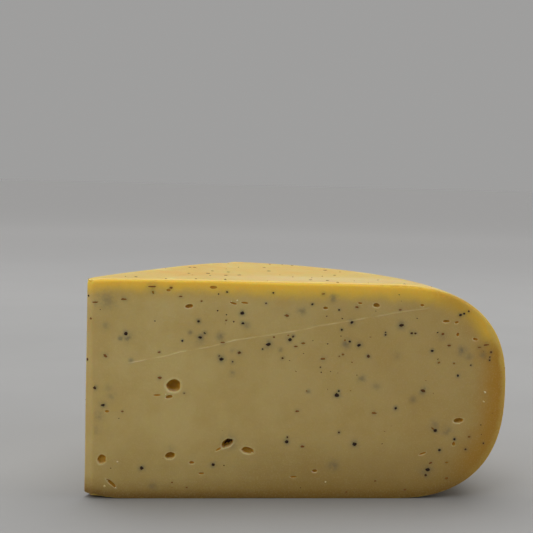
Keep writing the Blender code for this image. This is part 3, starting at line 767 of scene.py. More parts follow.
def cut_points(outline, edge, eyes, veils, knife_line, step):
    """Points inside a cut: rows along its edge, rings round its eyes and veils, and an even rest."""
    spread = Spread(max(MM, step))
    spread.add(outline, 0)
    kept = len(spread.points)
    for eye in eyes:
        for ring in eye.rings():
            spread.add(ring, 0.045 * MM)
    inward = np.gradient(edge, axis=0)
    inward = np.stack((inward[:, 1], -inward[:, 0]), 1) / np.hypot(inward[:, 0], inward[:, 1])[:, None]
    for distance in edge_steps(*EDGE_BAND)[1:]:
        spread.add(edge + distance * inward, 0.1 * MM)
    if len(knife_line):
        run = knife_line[-1] - knife_line[0]
        across = np.array((-run[1], run[0])) / hypot(*run)
        line = path_points(knife_line, np.linspace(0, 1, 240))
        for offset in KNIFE_ROWS:
            spread.add(line + offset * MM * across, 0.18 * MM)
    for along, up, width, _ in veils:
        for share in VEIL_RINGS:
            angles = np.linspace(0, 2 * pi, 1 if share == 0 else 9, endpoint=False) + share
            ring = np.stack((np.cos(angles), np.sin(angles)), 1) * share * width * MM
            spread.add(ring + np.array((along, up)) * MM, 0.3 * MM)
    low, high = outline.min(0), outline.max(0)
    draw = random.Random(3)
    rise = 0.87 * step
    for row in range(int((high[1] - low[1]) / rise)):
        y = low[1] + rise * (row + 0.5)
        xs = np.arange(low[0] + step * (0.5 if row % 2 else 1), high[0], step)
        jitter = [(x + draw.uniform(-0.2, 0.2) * step, y + draw.uniform(-0.2, 0.2) * step) for x in xs]
        spread.add(jitter, 0.7 * step)
    points = np.array(spread.points[kept:])
    distance, _ = nearest(points, outline, closed=True)
    return points[inside_outline(points, outline) & (distance > 0.1 * MM)]


def inside_outline(points, outline):
    """Which points lie inside a closed outline."""
    inside = np.zeros(len(points), bool)
    for (x0, y0), (x1, y1) in zip(outline, np.roll(outline, -1, axis=0)):
        if y0 != y1:
            spans = (points[:, 1] > min(y0, y1)) & (points[:, 1] <= max(y0, y1))
            crossed = x0 + (points[:, 1] - y0) * (x1 - x0) / (y1 - y0)
            inside ^= spans & (points[:, 0] < crossed)
    return inside


def triangles_of(outline, points):
    """Triangles that join an outline and the points inside it, anticlockwise."""
    everything = [Vector(point) for point in (*outline, *points)]
    border = list(range(len(outline)))
    edges = list(zip(border, border[1:] + border[:1]))
    made, _, faces, originals, _, _ = delaunay_2d_cdt(everything, edges, [border], 1, ON_THE_LINE)
    if len(made) != len(everything) or any(len(names) != 1 for names in originals):
        raise RuntimeError("two points of a cut fell together")
    names = [names[0] for names in originals]
    return [tuple(names[index] for index in face) for face in faces]


class WedgeMesh:
    """The wedge's points, faces and marks, gathered from the rind and the two cuts."""

    # lip carries the pale lips with their painted highlight; hollow also sets the painted shade in the eyes
    MARKS = ("rind", "gap", "edge_up", "edge_out", "hollow", "lip", "veil")

    def __init__(self, wedge, columns, step):
        self.wedge = wedge
        self.points = []
        self.faces = []
        self.marks = {name: [] for name in self.MARKS}
        self.count = 0
        self.add_rind(columns, step)

    def add(self, points, **marks):
        """Adds points and says what marks they carry. It gives the index of the first."""
        first = self.count
        self.points.append(points)
        for name in self.MARKS:
            self.marks[name].append(np.broadcast_to(marks.get(name, 0.0), len(points)))
        self.count += len(points)
        return first

    def add_rind(self, columns, step):
        """The rind and the nose, as rows of four-sided faces closed round the section."""
        height = self.wedge.wheel.height
        self.rows = rind_rows(self.wedge, columns, step)
        self.columns = columns
        coated = np.ones(columns)
        coated[[0, -1]] = 0.5
        for points, normals, kind in self.rows:
            moved = round_rind(self.wedge, points, normals, kind)
            if kind == "nose":
                above = points[:, 2] > height / 2
                gap = np.where(above, height - points[:, 2], points[:, 2])
                self.add(moved, gap=gap / MM, edge_up=np.where(above, 1.0, -1.0))
            else:
                gap = self.wedge.from_cuts(points) / MM
                outward = np.hypot(*normals[:, :2].T)
                self.add(moved, rind=coated, gap=gap, edge_up=normals[:, 2], edge_out=outward)
        rows = len(self.rows)
        for row in range(rows):
            here, after = row * columns, (row + 1) % rows * columns
            for column in range(columns - 1):
                self.faces.append((here + column, after + column, after + column + 1, here + column + 1))

    def add_cut(self, column, eyes, veils, knife_line, step, seed):
        """Fills one cut, from the rind's first or last column."""
        wedge, cut = self.wedge, self.wedge.cut
        front = column == 0
        sharp = np.array([points[column] for points, _, _ in self.rows])
        along = sharp[:, 0] if front else sharp[:, :2] @ wedge.along
        outline = np.stack((along, sharp[:, 2]), 1)
        on_edge = [index for index, (_, _, kind) in enumerate(self.rows) if kind != "nose"]
        edge = outline[on_edge]
        places = cut_points(outline, edge, eyes, veils, knife_line, step)
        distance, outward = nearest(places, edge)
        shift, sink = rounded(distance, wedge.edge_radius(*places.T) if front else cut.rounding)
        relief, hollow, lip = relief_of(places, eyes, knife_line, cut, seed)
        from_nose = places[:, 0] - outline[:, 0].min()
        settled = np.clip(distance / (2 * MM), 0, 1) * np.clip(from_nose / (4 * MM), 0, 1)
        open_eye = np.clip(hollow * 2, 0, 1)
        raised = relief * np.maximum(settled, open_eye) - sink
        moved = places - outward * shift[:, None]
        if front:
            points = np.column_stack((moved[:, 0], -raised, moved[:, 1]))
        else:
            plan = np.array([wedge.second_point(x, z) for x, z in moved])
            plan += raised[:, None] * wedge.out
            points = np.column_stack((plan, moved[:, 1]))
        first = self.add(
            points, gap=distance / MM, edge_up=outward[:, 1], edge_out=np.maximum(outward[:, 0], 0),
            hollow=hollow, lip=lip, veil=veil_of(places, veils),
        )
        names = [row * self.columns + column % self.columns for row in range(len(self.rows))]
        names += range(first, first + len(points))
        self.faces += [tuple(names[index] for index in face) for face in triangles_of(outline, places)]

    def finish(self, name):
        """Wears the whole form a little, moves it into the part's frame and makes its mesh."""
        points = np.concatenate(self.points)
        cut = self.wedge.cut
        for axis, size in enumerate(WARP):
            points[:, axis] += size * wander(points, WARP_LENGTH, 40 + axis)
        wheel = self.wedge.wheel
        level = self.wedge.on_second(wheel.radius - wheel.upper_shoulder, wheel.height)
        far = self.wedge.second_point(level, wheel.height)
        high = self.wedge.high(points[:, 2])
        sags = (((0, 0), cut.nose_sag, cut.nose_reach), (far, cut.far_sag, cut.far_reach))
        for corner, sag, reach in sags:
            away = np.hypot(*(points[:, :2] - corner).T) / reach
            points[:, 2] -= sag * np.exp(-away) * high
        worn = np.clip(1 - (points[:, 0] + points[:, 1]) / cut.wear_length, 0, 1)
        crumbled = 1 + 0.5 * wander(points, CRUMBLE_LENGTH, 50)
        low = np.clip(1 - points[:, 2] / WORN_HEIGHT, 0, 1)
        points[:, 2] += cut.wear_lift * worn * crumbled * low
        points[:, 2] = np.maximum(points[:, 2], 0)
        mesh = bpy.data.meshes.new(name)
        mesh.from_pydata(points + np.array(CORNER), [], self.faces)
        for mark, values in self.marks.items():
            layer = mesh.attributes.new(mark, "FLOAT", "POINT")
            layer.data.foreach_set("value", np.concatenate(values).astype(np.float32))
        whole = bmesh.new()
        whole.from_mesh(mesh)
        bmesh.ops.recalc_face_normals(whole, faces=whole.faces)
        whole.to_mesh(mesh)
        whole.free()
        mesh.shade_smooth()
        return mesh


def closed_mesh(name, points, faces, tones, material):
    """A mesh of loose closed bits, each with its own tone."""
    mesh = bpy.data.meshes.new(name)
    mesh.from_pydata(points, [], faces)
    layer = mesh.attributes.new("tone", "FLOAT", "POINT")
    layer.data.foreach_set("value", np.array(tones, np.float32))
    mesh.materials.append(material)
    mesh.shade_smooth()
    mesh.set_sharp_from_angle(angle=radians(50))
    obj = bpy.data.objects.new(name, mesh)
    bpy.context.scene.collection.objects.link(obj)
    return obj


class Bits:
    """Small closed bits that lie on the wedge: truffle and loose crumbs."""

    def __init__(self, seed):
        self.draw = random.Random(seed)
        self.points = []
        self.faces = []
        self.tones = []

    def add(self, spot, width, aspect, tilt, levels):
        """Adds a bit: rings of an uneven outline, each at a height and a share of the width."""
        place, normal = spot
        level = Vector((0, 0, 1)) if abs(normal.z) < 0.9 else Vector((0, 1, 0))
        across = level.cross(normal).normalized()
        frame_axes = Matrix((across, normal.cross(across), normal)).transposed()
        spin = Matrix.Rotation(radians(tilt), 3, "Z")
        sides = 9 if width < 1.6 * MM else 13
        reach = [self.draw.uniform(0.74, 1.12) for _ in range(sides)]
        start = len(self.points)
        for share, height in levels:
            for side, out in enumerate(reach):
                angle = 2 * pi * side / sides
                size = out * share * width / 2
                local = spin @ Vector((size * cos(angle), size * aspect * sin(angle), 0))
                local.z = height * self.draw.uniform(0.8, 1.2)
                self.points.append(place + frame_axes @ local)
        for ring in range(len(levels) - 1):
            low, high = start + ring * sides, start + (ring + 1) * sides
            for side in range(sides):
                after = (side + 1) % sides
                self.faces.append((low + side, low + after, high + after, high + side))
        self.faces.append(tuple(start + side for side in reversed(range(sides))))
        last = start + (len(levels) - 1) * sides
        self.faces.append(tuple(last + side for side in range(sides)))
        self.tones += [self.draw.random()] * (len(levels) * sides)

    def made(self, name, material):
        return closed_mesh(name, self.points, self.faces, self.tones, material)


class Socket:
    """A shader socket that Python's arithmetic reads as a number."""

    def __init__(self, nodes, link):
        self.nodes = nodes
        self.link = link

    def maths(self, operation, *values):
        return self.nodes.add("ShaderNodeMath", dict(enumerate(values)), operation=operation)

    def __add__(self, other):
        return self.maths("ADD", self, other)

    __radd__ = __add__

    def __sub__(self, other):
        return self.maths("SUBTRACT", self, other)

    def __rsub__(self, other):
        return self.maths("SUBTRACT", other, self)

    def __mul__(self, other):
        return self.maths("MULTIPLY", self, other)

    __rmul__ = __mul__

    def __truediv__(self, other):
        return self.maths("DIVIDE", self, other)

    def at_least(self, other):
        return self.maths("MAXIMUM", self, other)

    def step(self, start, end):
        """Rises smoothly from nought at the start to one at the end."""
        values = {0: self, 1: start, 2: end, 3: 0.0, 4: 1.0}
        return self.nodes.add("ShaderNodeMapRange", values, interpolation_type="SMOOTHSTEP")


class Finish:
    """A material, its nodes, and its Principled shader."""

    def __init__(self, name):
        self.material = bpy.data.materials.new(name)
        self.material.use_nodes = True
        self.tree = self.material.node_tree
        self.shader = self.tree.nodes["Principled BSDF"]
        self.place = self.add("ShaderNodeTexCoord", output="Object")

    def add(self, kind, sockets=None, output=0, **settings):
        """A node of a type: its settings first, then the values or links of its sockets."""
        node = self.tree.nodes.new(kind)
        for name, value in settings.items():
            setattr(node, name, value)
        self.connect(node, sockets or {})
        return Socket(self, node.outputs[output])

    def connect(self, node, sockets):
        for name, value in sockets.items():
            if isinstance(value, Socket):
                self.tree.links.new(value.link, node.inputs[name])
            else:
                node.inputs[name].default_value = value

    def set(self, **sockets):
        """Sets the shader's own sockets, with underscores for the spaces in their names."""
        self.connect(self.shader, {name.replace("_", " "): value for name, value in sockets.items()})

    def mark(self, name):
        """A mark that the mesh carries at its points."""
        return self.add("ShaderNodeAttribute", output="Fac", attribute_name=name)

    def stretched(self, scale):
        """The place on the object, stretched by a scale for each axis."""
        return self.add("ShaderNodeMapping", {"Vector": self.place, "Scale": scale})

    def noise(self, scale, detail=2.0, roughness=0.5, distortion=0.0, place=None):
        sockets = {
            "Vector": place or self.place, "Scale": scale, "Detail": detail, "Roughness": roughness,
            "Distortion": distortion,
        }
        return self.add("ShaderNodeTexNoise", sockets, output="Fac")

    def spots(self, scale, place=None, randomness=1.0):
        """The distance from the middles of scattered cells."""
        sockets = {"Vector": place or self.place, "Scale": scale, "Randomness": randomness}
        return self.add("ShaderNodeTexVoronoi", sockets, output="Distance")

    def blend(self, factor, below, above):
        """Two colours mixed; a plain colour is given as three numbers."""
        below, above = (value if isinstance(value, Socket) else (*value, 1.0) for value in (below, above))
        return self.add("ShaderNodeMix", {0: factor, 6: below, 7: above}, output=2, data_type="RGBA")

    def layered(self, colour, *layers):
        """A colour under layers, each with its weight and its own colour."""
        for weight, above in layers:
            colour = self.blend(weight, colour, above)
        return colour

    def sideways(self):
        """The place across the wedge, from the nose to the rim."""
        return self.add("ShaderNodeSeparateXYZ", {0: self.place}, output="X")

    def vector_maths(self, operation, *values, output=0):
        return self.add("ShaderNodeVectorMath", dict(enumerate(values)), output=output, operation=operation)

    def away_from(self, middle, size):
        """How far the surface is from a middle, in sizes of its own along each axis."""
        offset = self.vector_maths("DIVIDE", self.vector_maths("SUBTRACT", self.place, middle), size)
        return self.vector_maths("LENGTH", offset, output="Value")

    def bump(self, height, strength, distance):
        sockets = {"Strength": strength, "Distance": distance, "Height": height}
        return self.add("ShaderNodeBump", sockets, output="Normal")


class Edges:
    """Where a point of the cheese lies, seen from the nearest edge of a cut."""

    def __init__(self, finish):
        self.gap, self.up, self.out = (finish.mark(name) for name in ("gap", "edge_up", "edge_out"))
        self.wavering = self.gap + (finish.noise(160) - 0.5) * 3.2 + (finish.noise(700) - 0.5) * 0.9
        self.flat_top = self.up.step(0.2, 0.8)
        self.rimward = self.out.step(0.25, 0.8)
        self.downward = (self.up * -1).step(0.4, 0.9)
        self.shoulder = self.out.step(0.1, 0.4) * (1 - self.out.step(0.5, 0.8)) * self.up.step(0.2, 0.5)

    def within(self, start, end):
        """One up to the start, falling to nought at the end, in millimetres from the wavering edge."""
        return 1 - self.wavering.step(start, end)


def paste_colour(finish, colours, edges, clouds, grain):
    """Cut paste: yellow under the top, partly a painted glow, brown-orange behind the rim, painted shade at
    the foot, and open eyes painted darker as shade, with painted highlights on their lips.
    """
    across = finish.sideways()
    rightward, outer = across.step(-0.05, 0.0), across.step(-0.07, 0.09)
    # Painted glow: the yellow band under the top is partly the paste's own yellow, partly light through the
    # top edge painted in; weaker at the shoulder
    yellow = finish.blend(edges.shoulder, colours.under_rind, colours.shoulder)
    glow = (1 - (edges.wavering / (0.75 + 0.25 * rightward)).step(2.0, 9.5)) * edges.up.step(0.15, 0.6)
    dry = edges.within(3.0, 17.0) * edges.rimward * (1 - edges.up.step(0.2, 0.6) * 0.75)
    skin = edges.within(0.8, 3.2) * edges.rimward
    skin_colour = finish.blend(edges.up.step(-0.2, 0.5), colours.rind, colours.skin)
    # Painted shade: darker along the base
    foot = edges.within(-1.0, 11.0) * edges.downward
    # Painted contact shade along the foot of a cut
    contact_shade = (1 - edges.gap.step(0.3, 5.0)) * edges.downward * (1 - edges.rimward)
    # Painted shade: darker over the lower part of the cut, more towards the rim
    low = edges.within(4.0, 34.0) * (edges.up * -1).step(-0.3, 0.9)
    veil = finish.mark("veil") * (0.35 + 0.9 * finish.noise(480, detail=3, roughness=0.6).step(0.3, 0.62))
    hollow = finish.mark("hollow")
    return finish.layered(
        finish.blend(clouds.step(0.35, 0.7), colours.paste, colours.paste_deep),
        (outer * 0.4, colours.outer_paste),
        # Partly painted glow: its duller tail below the yellow band
        (edges.within(3.0, 12.0) * edges.flat_top * 0.5, colours.ochre),
        (glow * 0.92, yellow),
        (dry * 0.9, colours.dry_edge),
        (skin * 0.85, skin_colour),
        (foot * 0.85 * (1 - edges.rimward * 0.6), colours.foot),
        (contact_shade * 0.7, colours.contact_shade),
        (low * (0.3 + 0.25 * rightward) * (1 - edges.rimward * 0.3), colours.foot),
        ((grain - 0.5).at_least(0.0) * 0.5, colours.pale),
        (veil, colours.veil),
        # Painted shade inside the eyes, the deeper ones darker
        (hollow.step(0.05, 0.5), finish.blend(hollow.step(0.5, 1.0), colours.dimple, colours.hollow)),
        # Painted highlight on the lower lips of the eyes and on the knife line's ridge, over a little real
        # pale lip
        (finish.mark("lip"), colours.pale),
    )


def coat_colour(finish, colours, edges, patches, scuffs, bloom):
    """Coated rind: orange patches, pale bloom, a stretch of the top painted pale as a sheen, which is a
    painted highlight, and faint dots.
    """
    in_sheen = 1 - finish.away_from(SHEEN_MIDDLE, SHEEN_SIZE).step(0.45, 1.1)
    dots = (1 - finish.spots(330).step(0.06, 0.2)) * finish.noise(90).step(0.5, 0.62)
    return finish.layered(
        finish.blend(patches.step(0.46, 0.66) * 0.75, colours.rind, colours.rind_orange),
        (bloom * 0.7, colours.bloom),
        # Painted highlight: a pale sheen painted on the top behind the front cut
        (in_sheen * scuffs.step(0.2, 0.6) * edges.flat_top * 0.4, colours.bloom),
        # Partly painted glow: the yellow of the band under the rind carried onto the top beside the cut
        (edges.within(0.3, 6.0) * edges.flat_top * 0.25, colours.under_rind),
        # The rind's shoulder beside the cut, darkened with the same brown as the painted shade
        (edges.shoulder * edges.within(2.0, 14.0) * 0.45, colours.foot),
        (dots * 0.45, colours.veil),
    )


def cheese_finish(colours):
    """Paste on the cuts and coated rind elsewhere, told apart by the mesh's marks."""
    finish = Finish("gouda_paste_and_rind")
    rind = finish.mark("rind")
    edges = Edges(finish)
    clouds = finish.noise(55, detail=4, roughness=0.6)
    grain = finish.noise(1500, detail=3, roughness=0.7)
    patches = finish.noise(38, detail=5, roughness=0.62, distortion=0.6)
    scuffs = finish.noise(120, detail=6, roughness=0.7, place=finish.stretched((1.0, 2.2, 1.0)))
    bloom = finish.noise(24, detail=4, roughness=0.55).step(0.56, 0.68) * scuffs.step(0.42, 0.62)
    paste = paste_colour(finish, colours, edges, clouds, grain)
    coat = coat_colour(finish, colours, edges, patches, scuffs, bloom)
    finish.set(Base_Color=finish.blend(rind, paste, coat))

    wet = 0.46 - (clouds - 0.5) * 0.12 + finish.mark("hollow") * 0.1
    waxed = 0.44 + (scuffs - 0.5) * 0.3 + bloom * 0.25
    finish.set(Roughness=wet * (1 - rind) + waxed * rind, Coat_Weight=rind * (0.14 - bloom * 0.12))

    streaks = finish.noise(420, detail=3, place=finish.stretched((0.12, 0.12, 1.0)))
    cut_height = grain * 0.35 + streaks * 0.6 + finish.noise(260, detail=2) * 0.5
    dents = finish.noise(75, detail=2) * 3.0 + finish.spots(260, randomness=0.9) * 0.6
    rind_height = scuffs * 1.1 + finish.noise(520, detail=3) * 0.6 + patches * 1.2 + dents
    finish.set(Normal=finish.bump(cut_height * (1 - rind) + rind_height * rind, 0.35, 0.0005))
    finish.set(
        Subsurface_Weight=0.6, Subsurface_Radius=GLOW_REACH, Subsurface_Scale=0.0045, IOR=1.45,
        Coat_Roughness=0.25, Specular_IOR_Level=0.3,
    )
    return finish.material


def truffle_finish(name, colour, warm):
    """Rough truffle, with a tone of its own for each piece."""
    finish = Finish(name)
    tone = finish.mark("tone")
    mottle = finish.noise(1400, detail=3, roughness=0.7)
    lighter = finish.blend(mottle.step(0.4, 0.75) * 0.5 * tone, colour, warm)
    finish.set(Base_Color=finish.blend((tone - 0.6).at_least(0.0), lighter, warm))
    finish.set(Roughness=0.65 + mottle * 0.25, Specular_IOR_Level=0.2)
    finish.set(Normal=finish.bump(mottle + finish.noise(3500), 0.5, 0.0003))
    return finish.material


def crumb_finish(colours):
    """Loose bits of paste, a little paler and drier than the cut."""
    finish = Finish("gouda_crumb")
    mottle = finish.noise(1600, detail=3, roughness=0.65)
    finish.set(Base_Color=finish.blend(mottle.step(0.3, 0.8), colours.pale, colours.paste))
    finish.set(Roughness=0.55 + mottle * 0.15, Normal=finish.bump(mottle, 0.5, 0.0003))
    finish.set(Subsurface_Weight=0.4, Subsurface_Radius=GLOW_REACH, Subsurface_Scale=0.001)
    return finish.material


def floor_finish(colour):
    """A plain pale floor with the faintest unevenness."""
    finish = Finish("pale_floor")
    soft = finish.noise(6, detail=3)
    shade = tuple(0.96 * channel for channel in colour)
    near = finish.blend(soft.step(0.3, 0.7), colour, shade)
    far = finish.blend(finish.away_from((0, 0, 0), (1, 1, 1)).step(0.2, 2.5), near, FAR_FLOOR)
    finish.set(Base_Color=far, Roughness=0.8 + soft * 0.1, Specular_IOR_Level=0.2)
    finish.set(Normal=finish.bump(finish.noise(900, detail=3), 0.1, 0.0003))
    return finish.material


def surface_of(mesh):
    """A mesh as a surface that rays can be sent to."""
    places = [vertex.co for vertex in mesh.vertices]
    return BVHTree.FromPolygons(places, [face.vertices for face in mesh.polygons])


def spot_on(tree, start, direction):
    """Where a ray first meets the wedge, and the normal there."""
    place, normal, _, _ = tree.ray_cast(start, direction)
    if place is None:
        raise RuntimeError(f"nothing of the wedge lies on the line from {tuple(start)}")
    return place, normal


def front_spot(tree, along, up):
    """A spot of the front cut, from millimetres along it and up."""
    return spot_on(tree, CORNER + Vector((along * MM, -RAY_ROOM, up * MM)), Vector((0, 1, 0)))


def drawn_spots(mesh, count, draw, taken, gap, wanted):
    """Spots drawn over the wanted faces of a mesh, clear of those taken before and partly in clusters."""
    faces = [face for face in mesh.polygons if wanted(face)]
    areas = np.cumsum([face.area for face in faces])
    tree = KDTree(len(faces))
    for index, face in enumerate(faces):
        tree.insert(face.center, index)
    tree.balance()
    spots = []
    for _ in range(TRIES_PER_SPOT * count):
        if len(spots) == count:
            return spots
        face = faces[int(np.searchsorted(areas, draw.random() * areas[-1]))]
        if spots and draw.random() < CLUSTERED:
            beside = draw.choice(spots)[0] + Vector([draw.gauss(0, CLUSTER_RADIUS) for _ in range(3)])
            face = faces[tree.find(beside)[1]]
        weights = [draw.random() for _ in face.vertices]
        corners = [mesh.vertices[index].co for index in face.vertices]
        weighted = (corner * weight for corner, weight in zip(corners, weights))
        place = sum(weighted, Vector()) / sum(weights)
        if all((place - other).length > gap for other in taken):
            taken.append(place)
            spots.append((place, face.normal.copy()))
    raise RuntimeError("the truffle does not fit on the wedge at this gap")


def parts_of_the_wedge(mesh):
    """Tests for a face of the front cut and for one of the rind off the underside."""
    rind, gap, hollow = (mesh.attributes[name].data for name in ("rind", "gap", "hollow"))

    def is_bare(index):
        return rind[index].value == 0 and gap[index].value > 3 and hollow[index].value == 0

    def is_front(face):
        return face.normal.y < -0.8 and all(is_bare(index) for index in face.vertices)

    def is_rind(face):
        return face.normal.z > -0.9 and all(rind[index].value == 1 for index in face.vertices)

    return is_front, is_rind


def drawn_roundness(draw, black):
    """How high a drawn piece of truffle is, as a share of its width."""
    return draw.uniform(*(BLACK_ROUNDNESS if black else BROWN_ROUNDNESS))


def drawn_flecks(wedge, sizes):
    """Truffle in the second cut, partly in clusters: along, up, width, aspect, tilt, whether black."""
    draw = random.Random(sizes.seed + 4)
    flecks = []
    while len(flecks) < sizes.second_flecks:
        along, up = (draw.uniform(*span) for span in FLECK_SPAN)
        if flecks and draw.random() < CLUSTERED:
            beside = draw.choice(flecks)
            along, up = (draw.gauss(*pair) for pair in zip(beside, CLUSTER_SPREAD))
        width = SMALLEST_FLECK + FLECK_RANGE * draw.random() ** SMALL_FAVOURED
        others = [(*fleck[:2], fleck[2] / 2 + 0.5) for fleck in flecks]
        others += [(eye[0], eye[1], eye[2] / 2 + 0.7) for eye in SECOND_EYES]
        clear = all(hypot(along - x, up - y) > width / 2 + room for x, y, room in others)
        if clear and along > 2 and 2.5 < up < 93.5 and wedge.on_cut(along * MM, up * MM, 2 * MM):
            black = draw.random() < BLACK_SHARE
            aspect = drawn_roundness(draw, black)
            flecks.append((along, up, width, aspect, draw.gauss(0, TILT_SPREAD), black))
    return flecks


def drawn_veils(wedge, count, draw):
    """Blurred truffle in the second cut: along, up, width, strength."""
    veils = []
    while len(veils) < count:
        along, up = (draw.uniform(*span) for span in VEIL_SPAN)
        if wedge.on_cut(along * MM, up * MM, 10 * MM):
            veils.append((along, up, draw.uniform(1.8, 4.5), draw.uniform(0.15, 0.45)))
    return veils


def on_the_part(obj):
    """Rides a piece on the part and lets it stand for the plain solid."""
    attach(obj, "root")
    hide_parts(CAD_NODE)


def wedge_object():
    obj = bpy.data.objects.get(WEDGE_NAME)
    if obj is None:
        raise RuntimeError("the wedge has to be made before what lies on it")
    return obj


class GOUDA_OT_wedge(bpy.types.Operator):
    """Make the wedge itself, with its cuts, its eyes and its rind"""

    bl_idname = "gouda.wedge"
    bl_label = "Wedge"

    def execute(self, context):
        scene = context.scene
        draw = random.Random(scene.gouda_truffle.seed)
        wedge = Wedge(scene.gouda_wheel, scene.gouda_cut)
        form = WedgeMesh(wedge, RIND_COLUMNS, RIND_STEP)
        # The halos round the dark pieces in the deep eye darken it further: painted shade
        halos = [(along, up, 1.5 * width, 0.55) for along, up, width, _, _ in FRONT_BLACK]
        halos += [(along, up, 1.2 * width, 0.25) for along, up, width, _, _ in FRONT_BROWN]
        front_eyes = [Eye(row, draw) for row in FRONT_EYES]
        form.add_cut(0, front_eyes, [*VEILED, *halos], np.array(KNIFE_LINE) * MM, FRONT_STEP, 7)
        second_eyes = [Eye(row, draw) for row in SECOND_EYES]
        flecks = drawn_flecks(wedge, scene.gouda_truffle)
        second_veils = drawn_veils(wedge, SECOND_VEILS, draw)
        second_veils += [(along, up, 1.5 * width, 0.5) for along, up, width, *_ in flecks]
        form.add_cut(-1, second_eyes, second_veils, np.empty((0, 2)), SECOND_STEP, 9)
        mesh = form.finish(WEDGE_NAME)
        mesh.materials.append(cheese_finish(scene.gouda_colours))
        obj = bpy.data.objects.new(WEDGE_NAME, mesh)
        scene.collection.objects.link(obj)
        on_the_part(obj)
        return {"FINISHED"}


class GOUDA_OT_truffle(bpy.types.Operator):
    """Set the truffle in the cuts and the rind, black pieces and brown ones, and the dark pieces that paint
    one deep eye's shade
    """

    bl_idname = "gouda.truffle"
    bl_label = "Truffle"

    def execute(self, context):
        scene = context.scene
        sizes, colours = scene.gouda_truffle, scene.gouda_colours
        mesh = wedge_object().data
        tree = surface_of(mesh)
        black, brown = Bits(sizes.seed), Bits(sizes.seed + 1)
        draw = random.Random(sizes.seed + 2)
        levels = [(share, rise * sizes.proud) for share, rise in TRUFFLE_LEVELS]
        taken = []
        # FRONT_BLACK also holds the dark pieces that paint the shade of one deep eye
        for bits, flecks in ((black, FRONT_BLACK), (brown, FRONT_BROWN)):
            for along, up, width, aspect, tilt in flecks:
                spot = front_spot(tree, along, up)
                taken.append(spot[0])
                bits.add(spot, CUT_SHARE * width * MM, aspect, tilt, levels)
        for along, back, width in TOP_TRUFFLE:
            start = CORNER + Vector((along * MM, back * MM, 2 * scene.gouda_wheel.height))
            spot = spot_on(tree, start, Vector((0, 0, -1)))
            taken.append(spot[0])
            black.add(spot, width * MM, draw.uniform(0.5, 1), draw.uniform(0, 180), levels)
        wedge = Wedge(scene.gouda_wheel, scene.gouda_cut)
        outward = Vector((*wedge.out, 0))
        for along, up, width, aspect, tilt, is_black in drawn_flecks(wedge, sizes):
            place = Vector((*wedge.second_point(along * MM, up * MM), up * MM))
            spot = spot_on(tree, CORNER + place + RAY_ROOM * outward, -outward)
            bits = black if is_black else brown
            bits.add(spot, CUT_SHARE * width * MM, aspect, tilt, levels)
        is_front, is_rind = parts_of_the_wedge(mesh)
        for wanted_count, wanted, (least, most) in (
            (sizes.front_specks, is_front, SPECK_WIDTHS),
            (sizes.rind_flecks, is_rind, RIND_FLECK_WIDTHS),
        ):
            for spot in drawn_spots(mesh, wanted_count, draw, taken, sizes.gap, wanted):
                bits = black if draw.random() < BLACK_SHARE else brown
                width = (least + (most - least) * draw.random() ** SMALL_FAVOURED) * MM
                aspect = draw.uniform(0.5, 1.0) if bits is black else draw.uniform(*BROWN_ROUNDNESS)
                bits.add(spot, width, aspect, draw.gauss(0, TILT_SPREAD), levels)
        for name, bits, colour, warm in (
            ("truffle_black", black, colours.black, colours.brown),
            ("truffle_brown", brown, colours.brown, colours.hollow),
        ):
            on_the_part(bits.made(name, truffle_finish(name, colour, warm)))
        return {"FINISHED"}


class GOUDA_OT_crumbs(bpy.types.Operator):
    """Scatter the few pale crumbs that cling to the front cut"""

    bl_idname = "gouda.crumbs"
    bl_label = "Crumbs"

    def execute(self, context):
        scene = context.scene
        mesh = wedge_object().data
        tree = surface_of(mesh)
        crumbs = Bits(scene.gouda_truffle.seed + 3)
        for along, up, width in FRONT_CRUMBS:
            levels = [(share, rise * CRUMB_HEIGHT * width * MM) for share, rise in CRUMB_LEVELS]
            crumbs.add(front_spot(tree, along, up), width * MM, 0.75, 40 * along, levels)
        on_the_part(crumbs.made("crumbs", crumb_finish(scene.gouda_colours)))
        return {"FINISHED"}


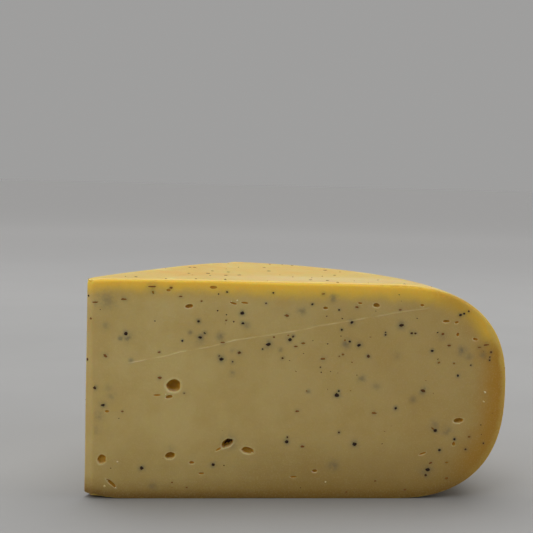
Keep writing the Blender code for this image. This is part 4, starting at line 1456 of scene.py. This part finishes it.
class GOUDA_OT_stage(bpy.types.Operator):
    """Lay the pale floor and set up the lights and the camera"""

    bl_idname = "gouda.stage"
    bl_label = "Stage"

    def execute(self, context):
        scene = context.scene
        look = scene.gouda_stage
        mesh = bpy.data.meshes.new("floor")
        half = FLOOR_WIDTH / 2
        corners = [(-half, -half, 0), (half, -half, 0), (half, half, 0), (-half, half, 0)]
        mesh.from_pydata(corners, [], [(0, 1, 2, 3)])
        mesh.materials.append(floor_finish(look.floor))
        floor = bpy.data.objects.new("floor", mesh)
        scene.collection.objects.link(floor)
        for name, place, size in LIGHTS:
            soft_light(name, getattr(look, name), place, size)
        world = bpy.data.worlds.new("pale_room")
        world.use_nodes = True
        world.node_tree.nodes["Background"].inputs["Color"].default_value = (*look.surroundings, 1.0)
        scene.world = world
        scene.view_settings.view_transform = "Standard"
        camera = bpy.data.objects.new("camera", bpy.data.cameras.new("camera"))
        scene.collection.objects.link(camera)
        camera.data.sensor_width = SENSOR_WIDTH
        camera.data.lens = look.lens
        turn = Matrix.Rotation(look.pan, 4, "Z") @ Matrix.Rotation(pi / 2 - look.pitch, 4, "X")
        turn @= Matrix.Rotation(look.roll, 4, "Z")
        camera.matrix_world = Matrix.Translation(CORNER + Vector(look.camera_place)) @ turn
        scene.camera = camera
        return {"FINISHED"}


def soft_light(name, power, place, size):
    """A broad light that faces the wedge."""
    data = bpy.data.lights.new(name, "AREA")
    data.shape = "RECTANGLE"
    data.size, data.size_y = size
    data.energy = power
    light = bpy.data.objects.new(name, data)
    bpy.context.scene.collection.objects.link(light)
    light.location = place
    light.rotation_euler = (LIT_POINT - Vector(place)).to_track_quat("-Z", "Y").to_euler()


class GOUDA_PT_wedge(bpy.types.Panel):
    """Makes the wedge piece by piece"""

    bl_label = "Truffle gouda"
    bl_space_type = "VIEW_3D"
    bl_region_type = "UI"
    bl_category = "Gouda"

    def draw(self, context):
        for operator in OPERATORS:
            self.layout.operator(operator.bl_idname)
        for name in GROUPS:
            group = getattr(context.scene, name)
            box = self.layout.box()
            for prop in group.bl_rna.properties:
                if prop.identifier not in ("rna_type", "name"):
                    box.prop(group, prop.identifier)


OPERATORS = (GOUDA_OT_wedge, GOUDA_OT_truffle, GOUDA_OT_crumbs, GOUDA_OT_stage)
GROUPS = {
    "gouda_wheel": WheelSizes,
    "gouda_cut": CutSizes,
    "gouda_colours": FinishColours,
    "gouda_truffle": TruffleSizes,
    "gouda_stage": StageLook,
}
CLASSES = (*GROUPS.values(), *OPERATORS, GOUDA_PT_wedge)


def register():
    for cls in CLASSES:
        bpy.utils.register_class(cls)
    for name, group in GROUPS.items():
        setattr(bpy.types.Scene, name, PointerProperty(type=group))


def unregister():
    for name in GROUPS:
        delattr(bpy.types.Scene, name)
    for cls in reversed(CLASSES):
        bpy.utils.unregister_class(cls)


def main():
    register()
    bpy.ops.gouda.wedge()
    bpy.ops.gouda.truffle()
    bpy.ops.gouda.crumbs()
    bpy.ops.gouda.stage()


if __name__ == "__main__":
    main()
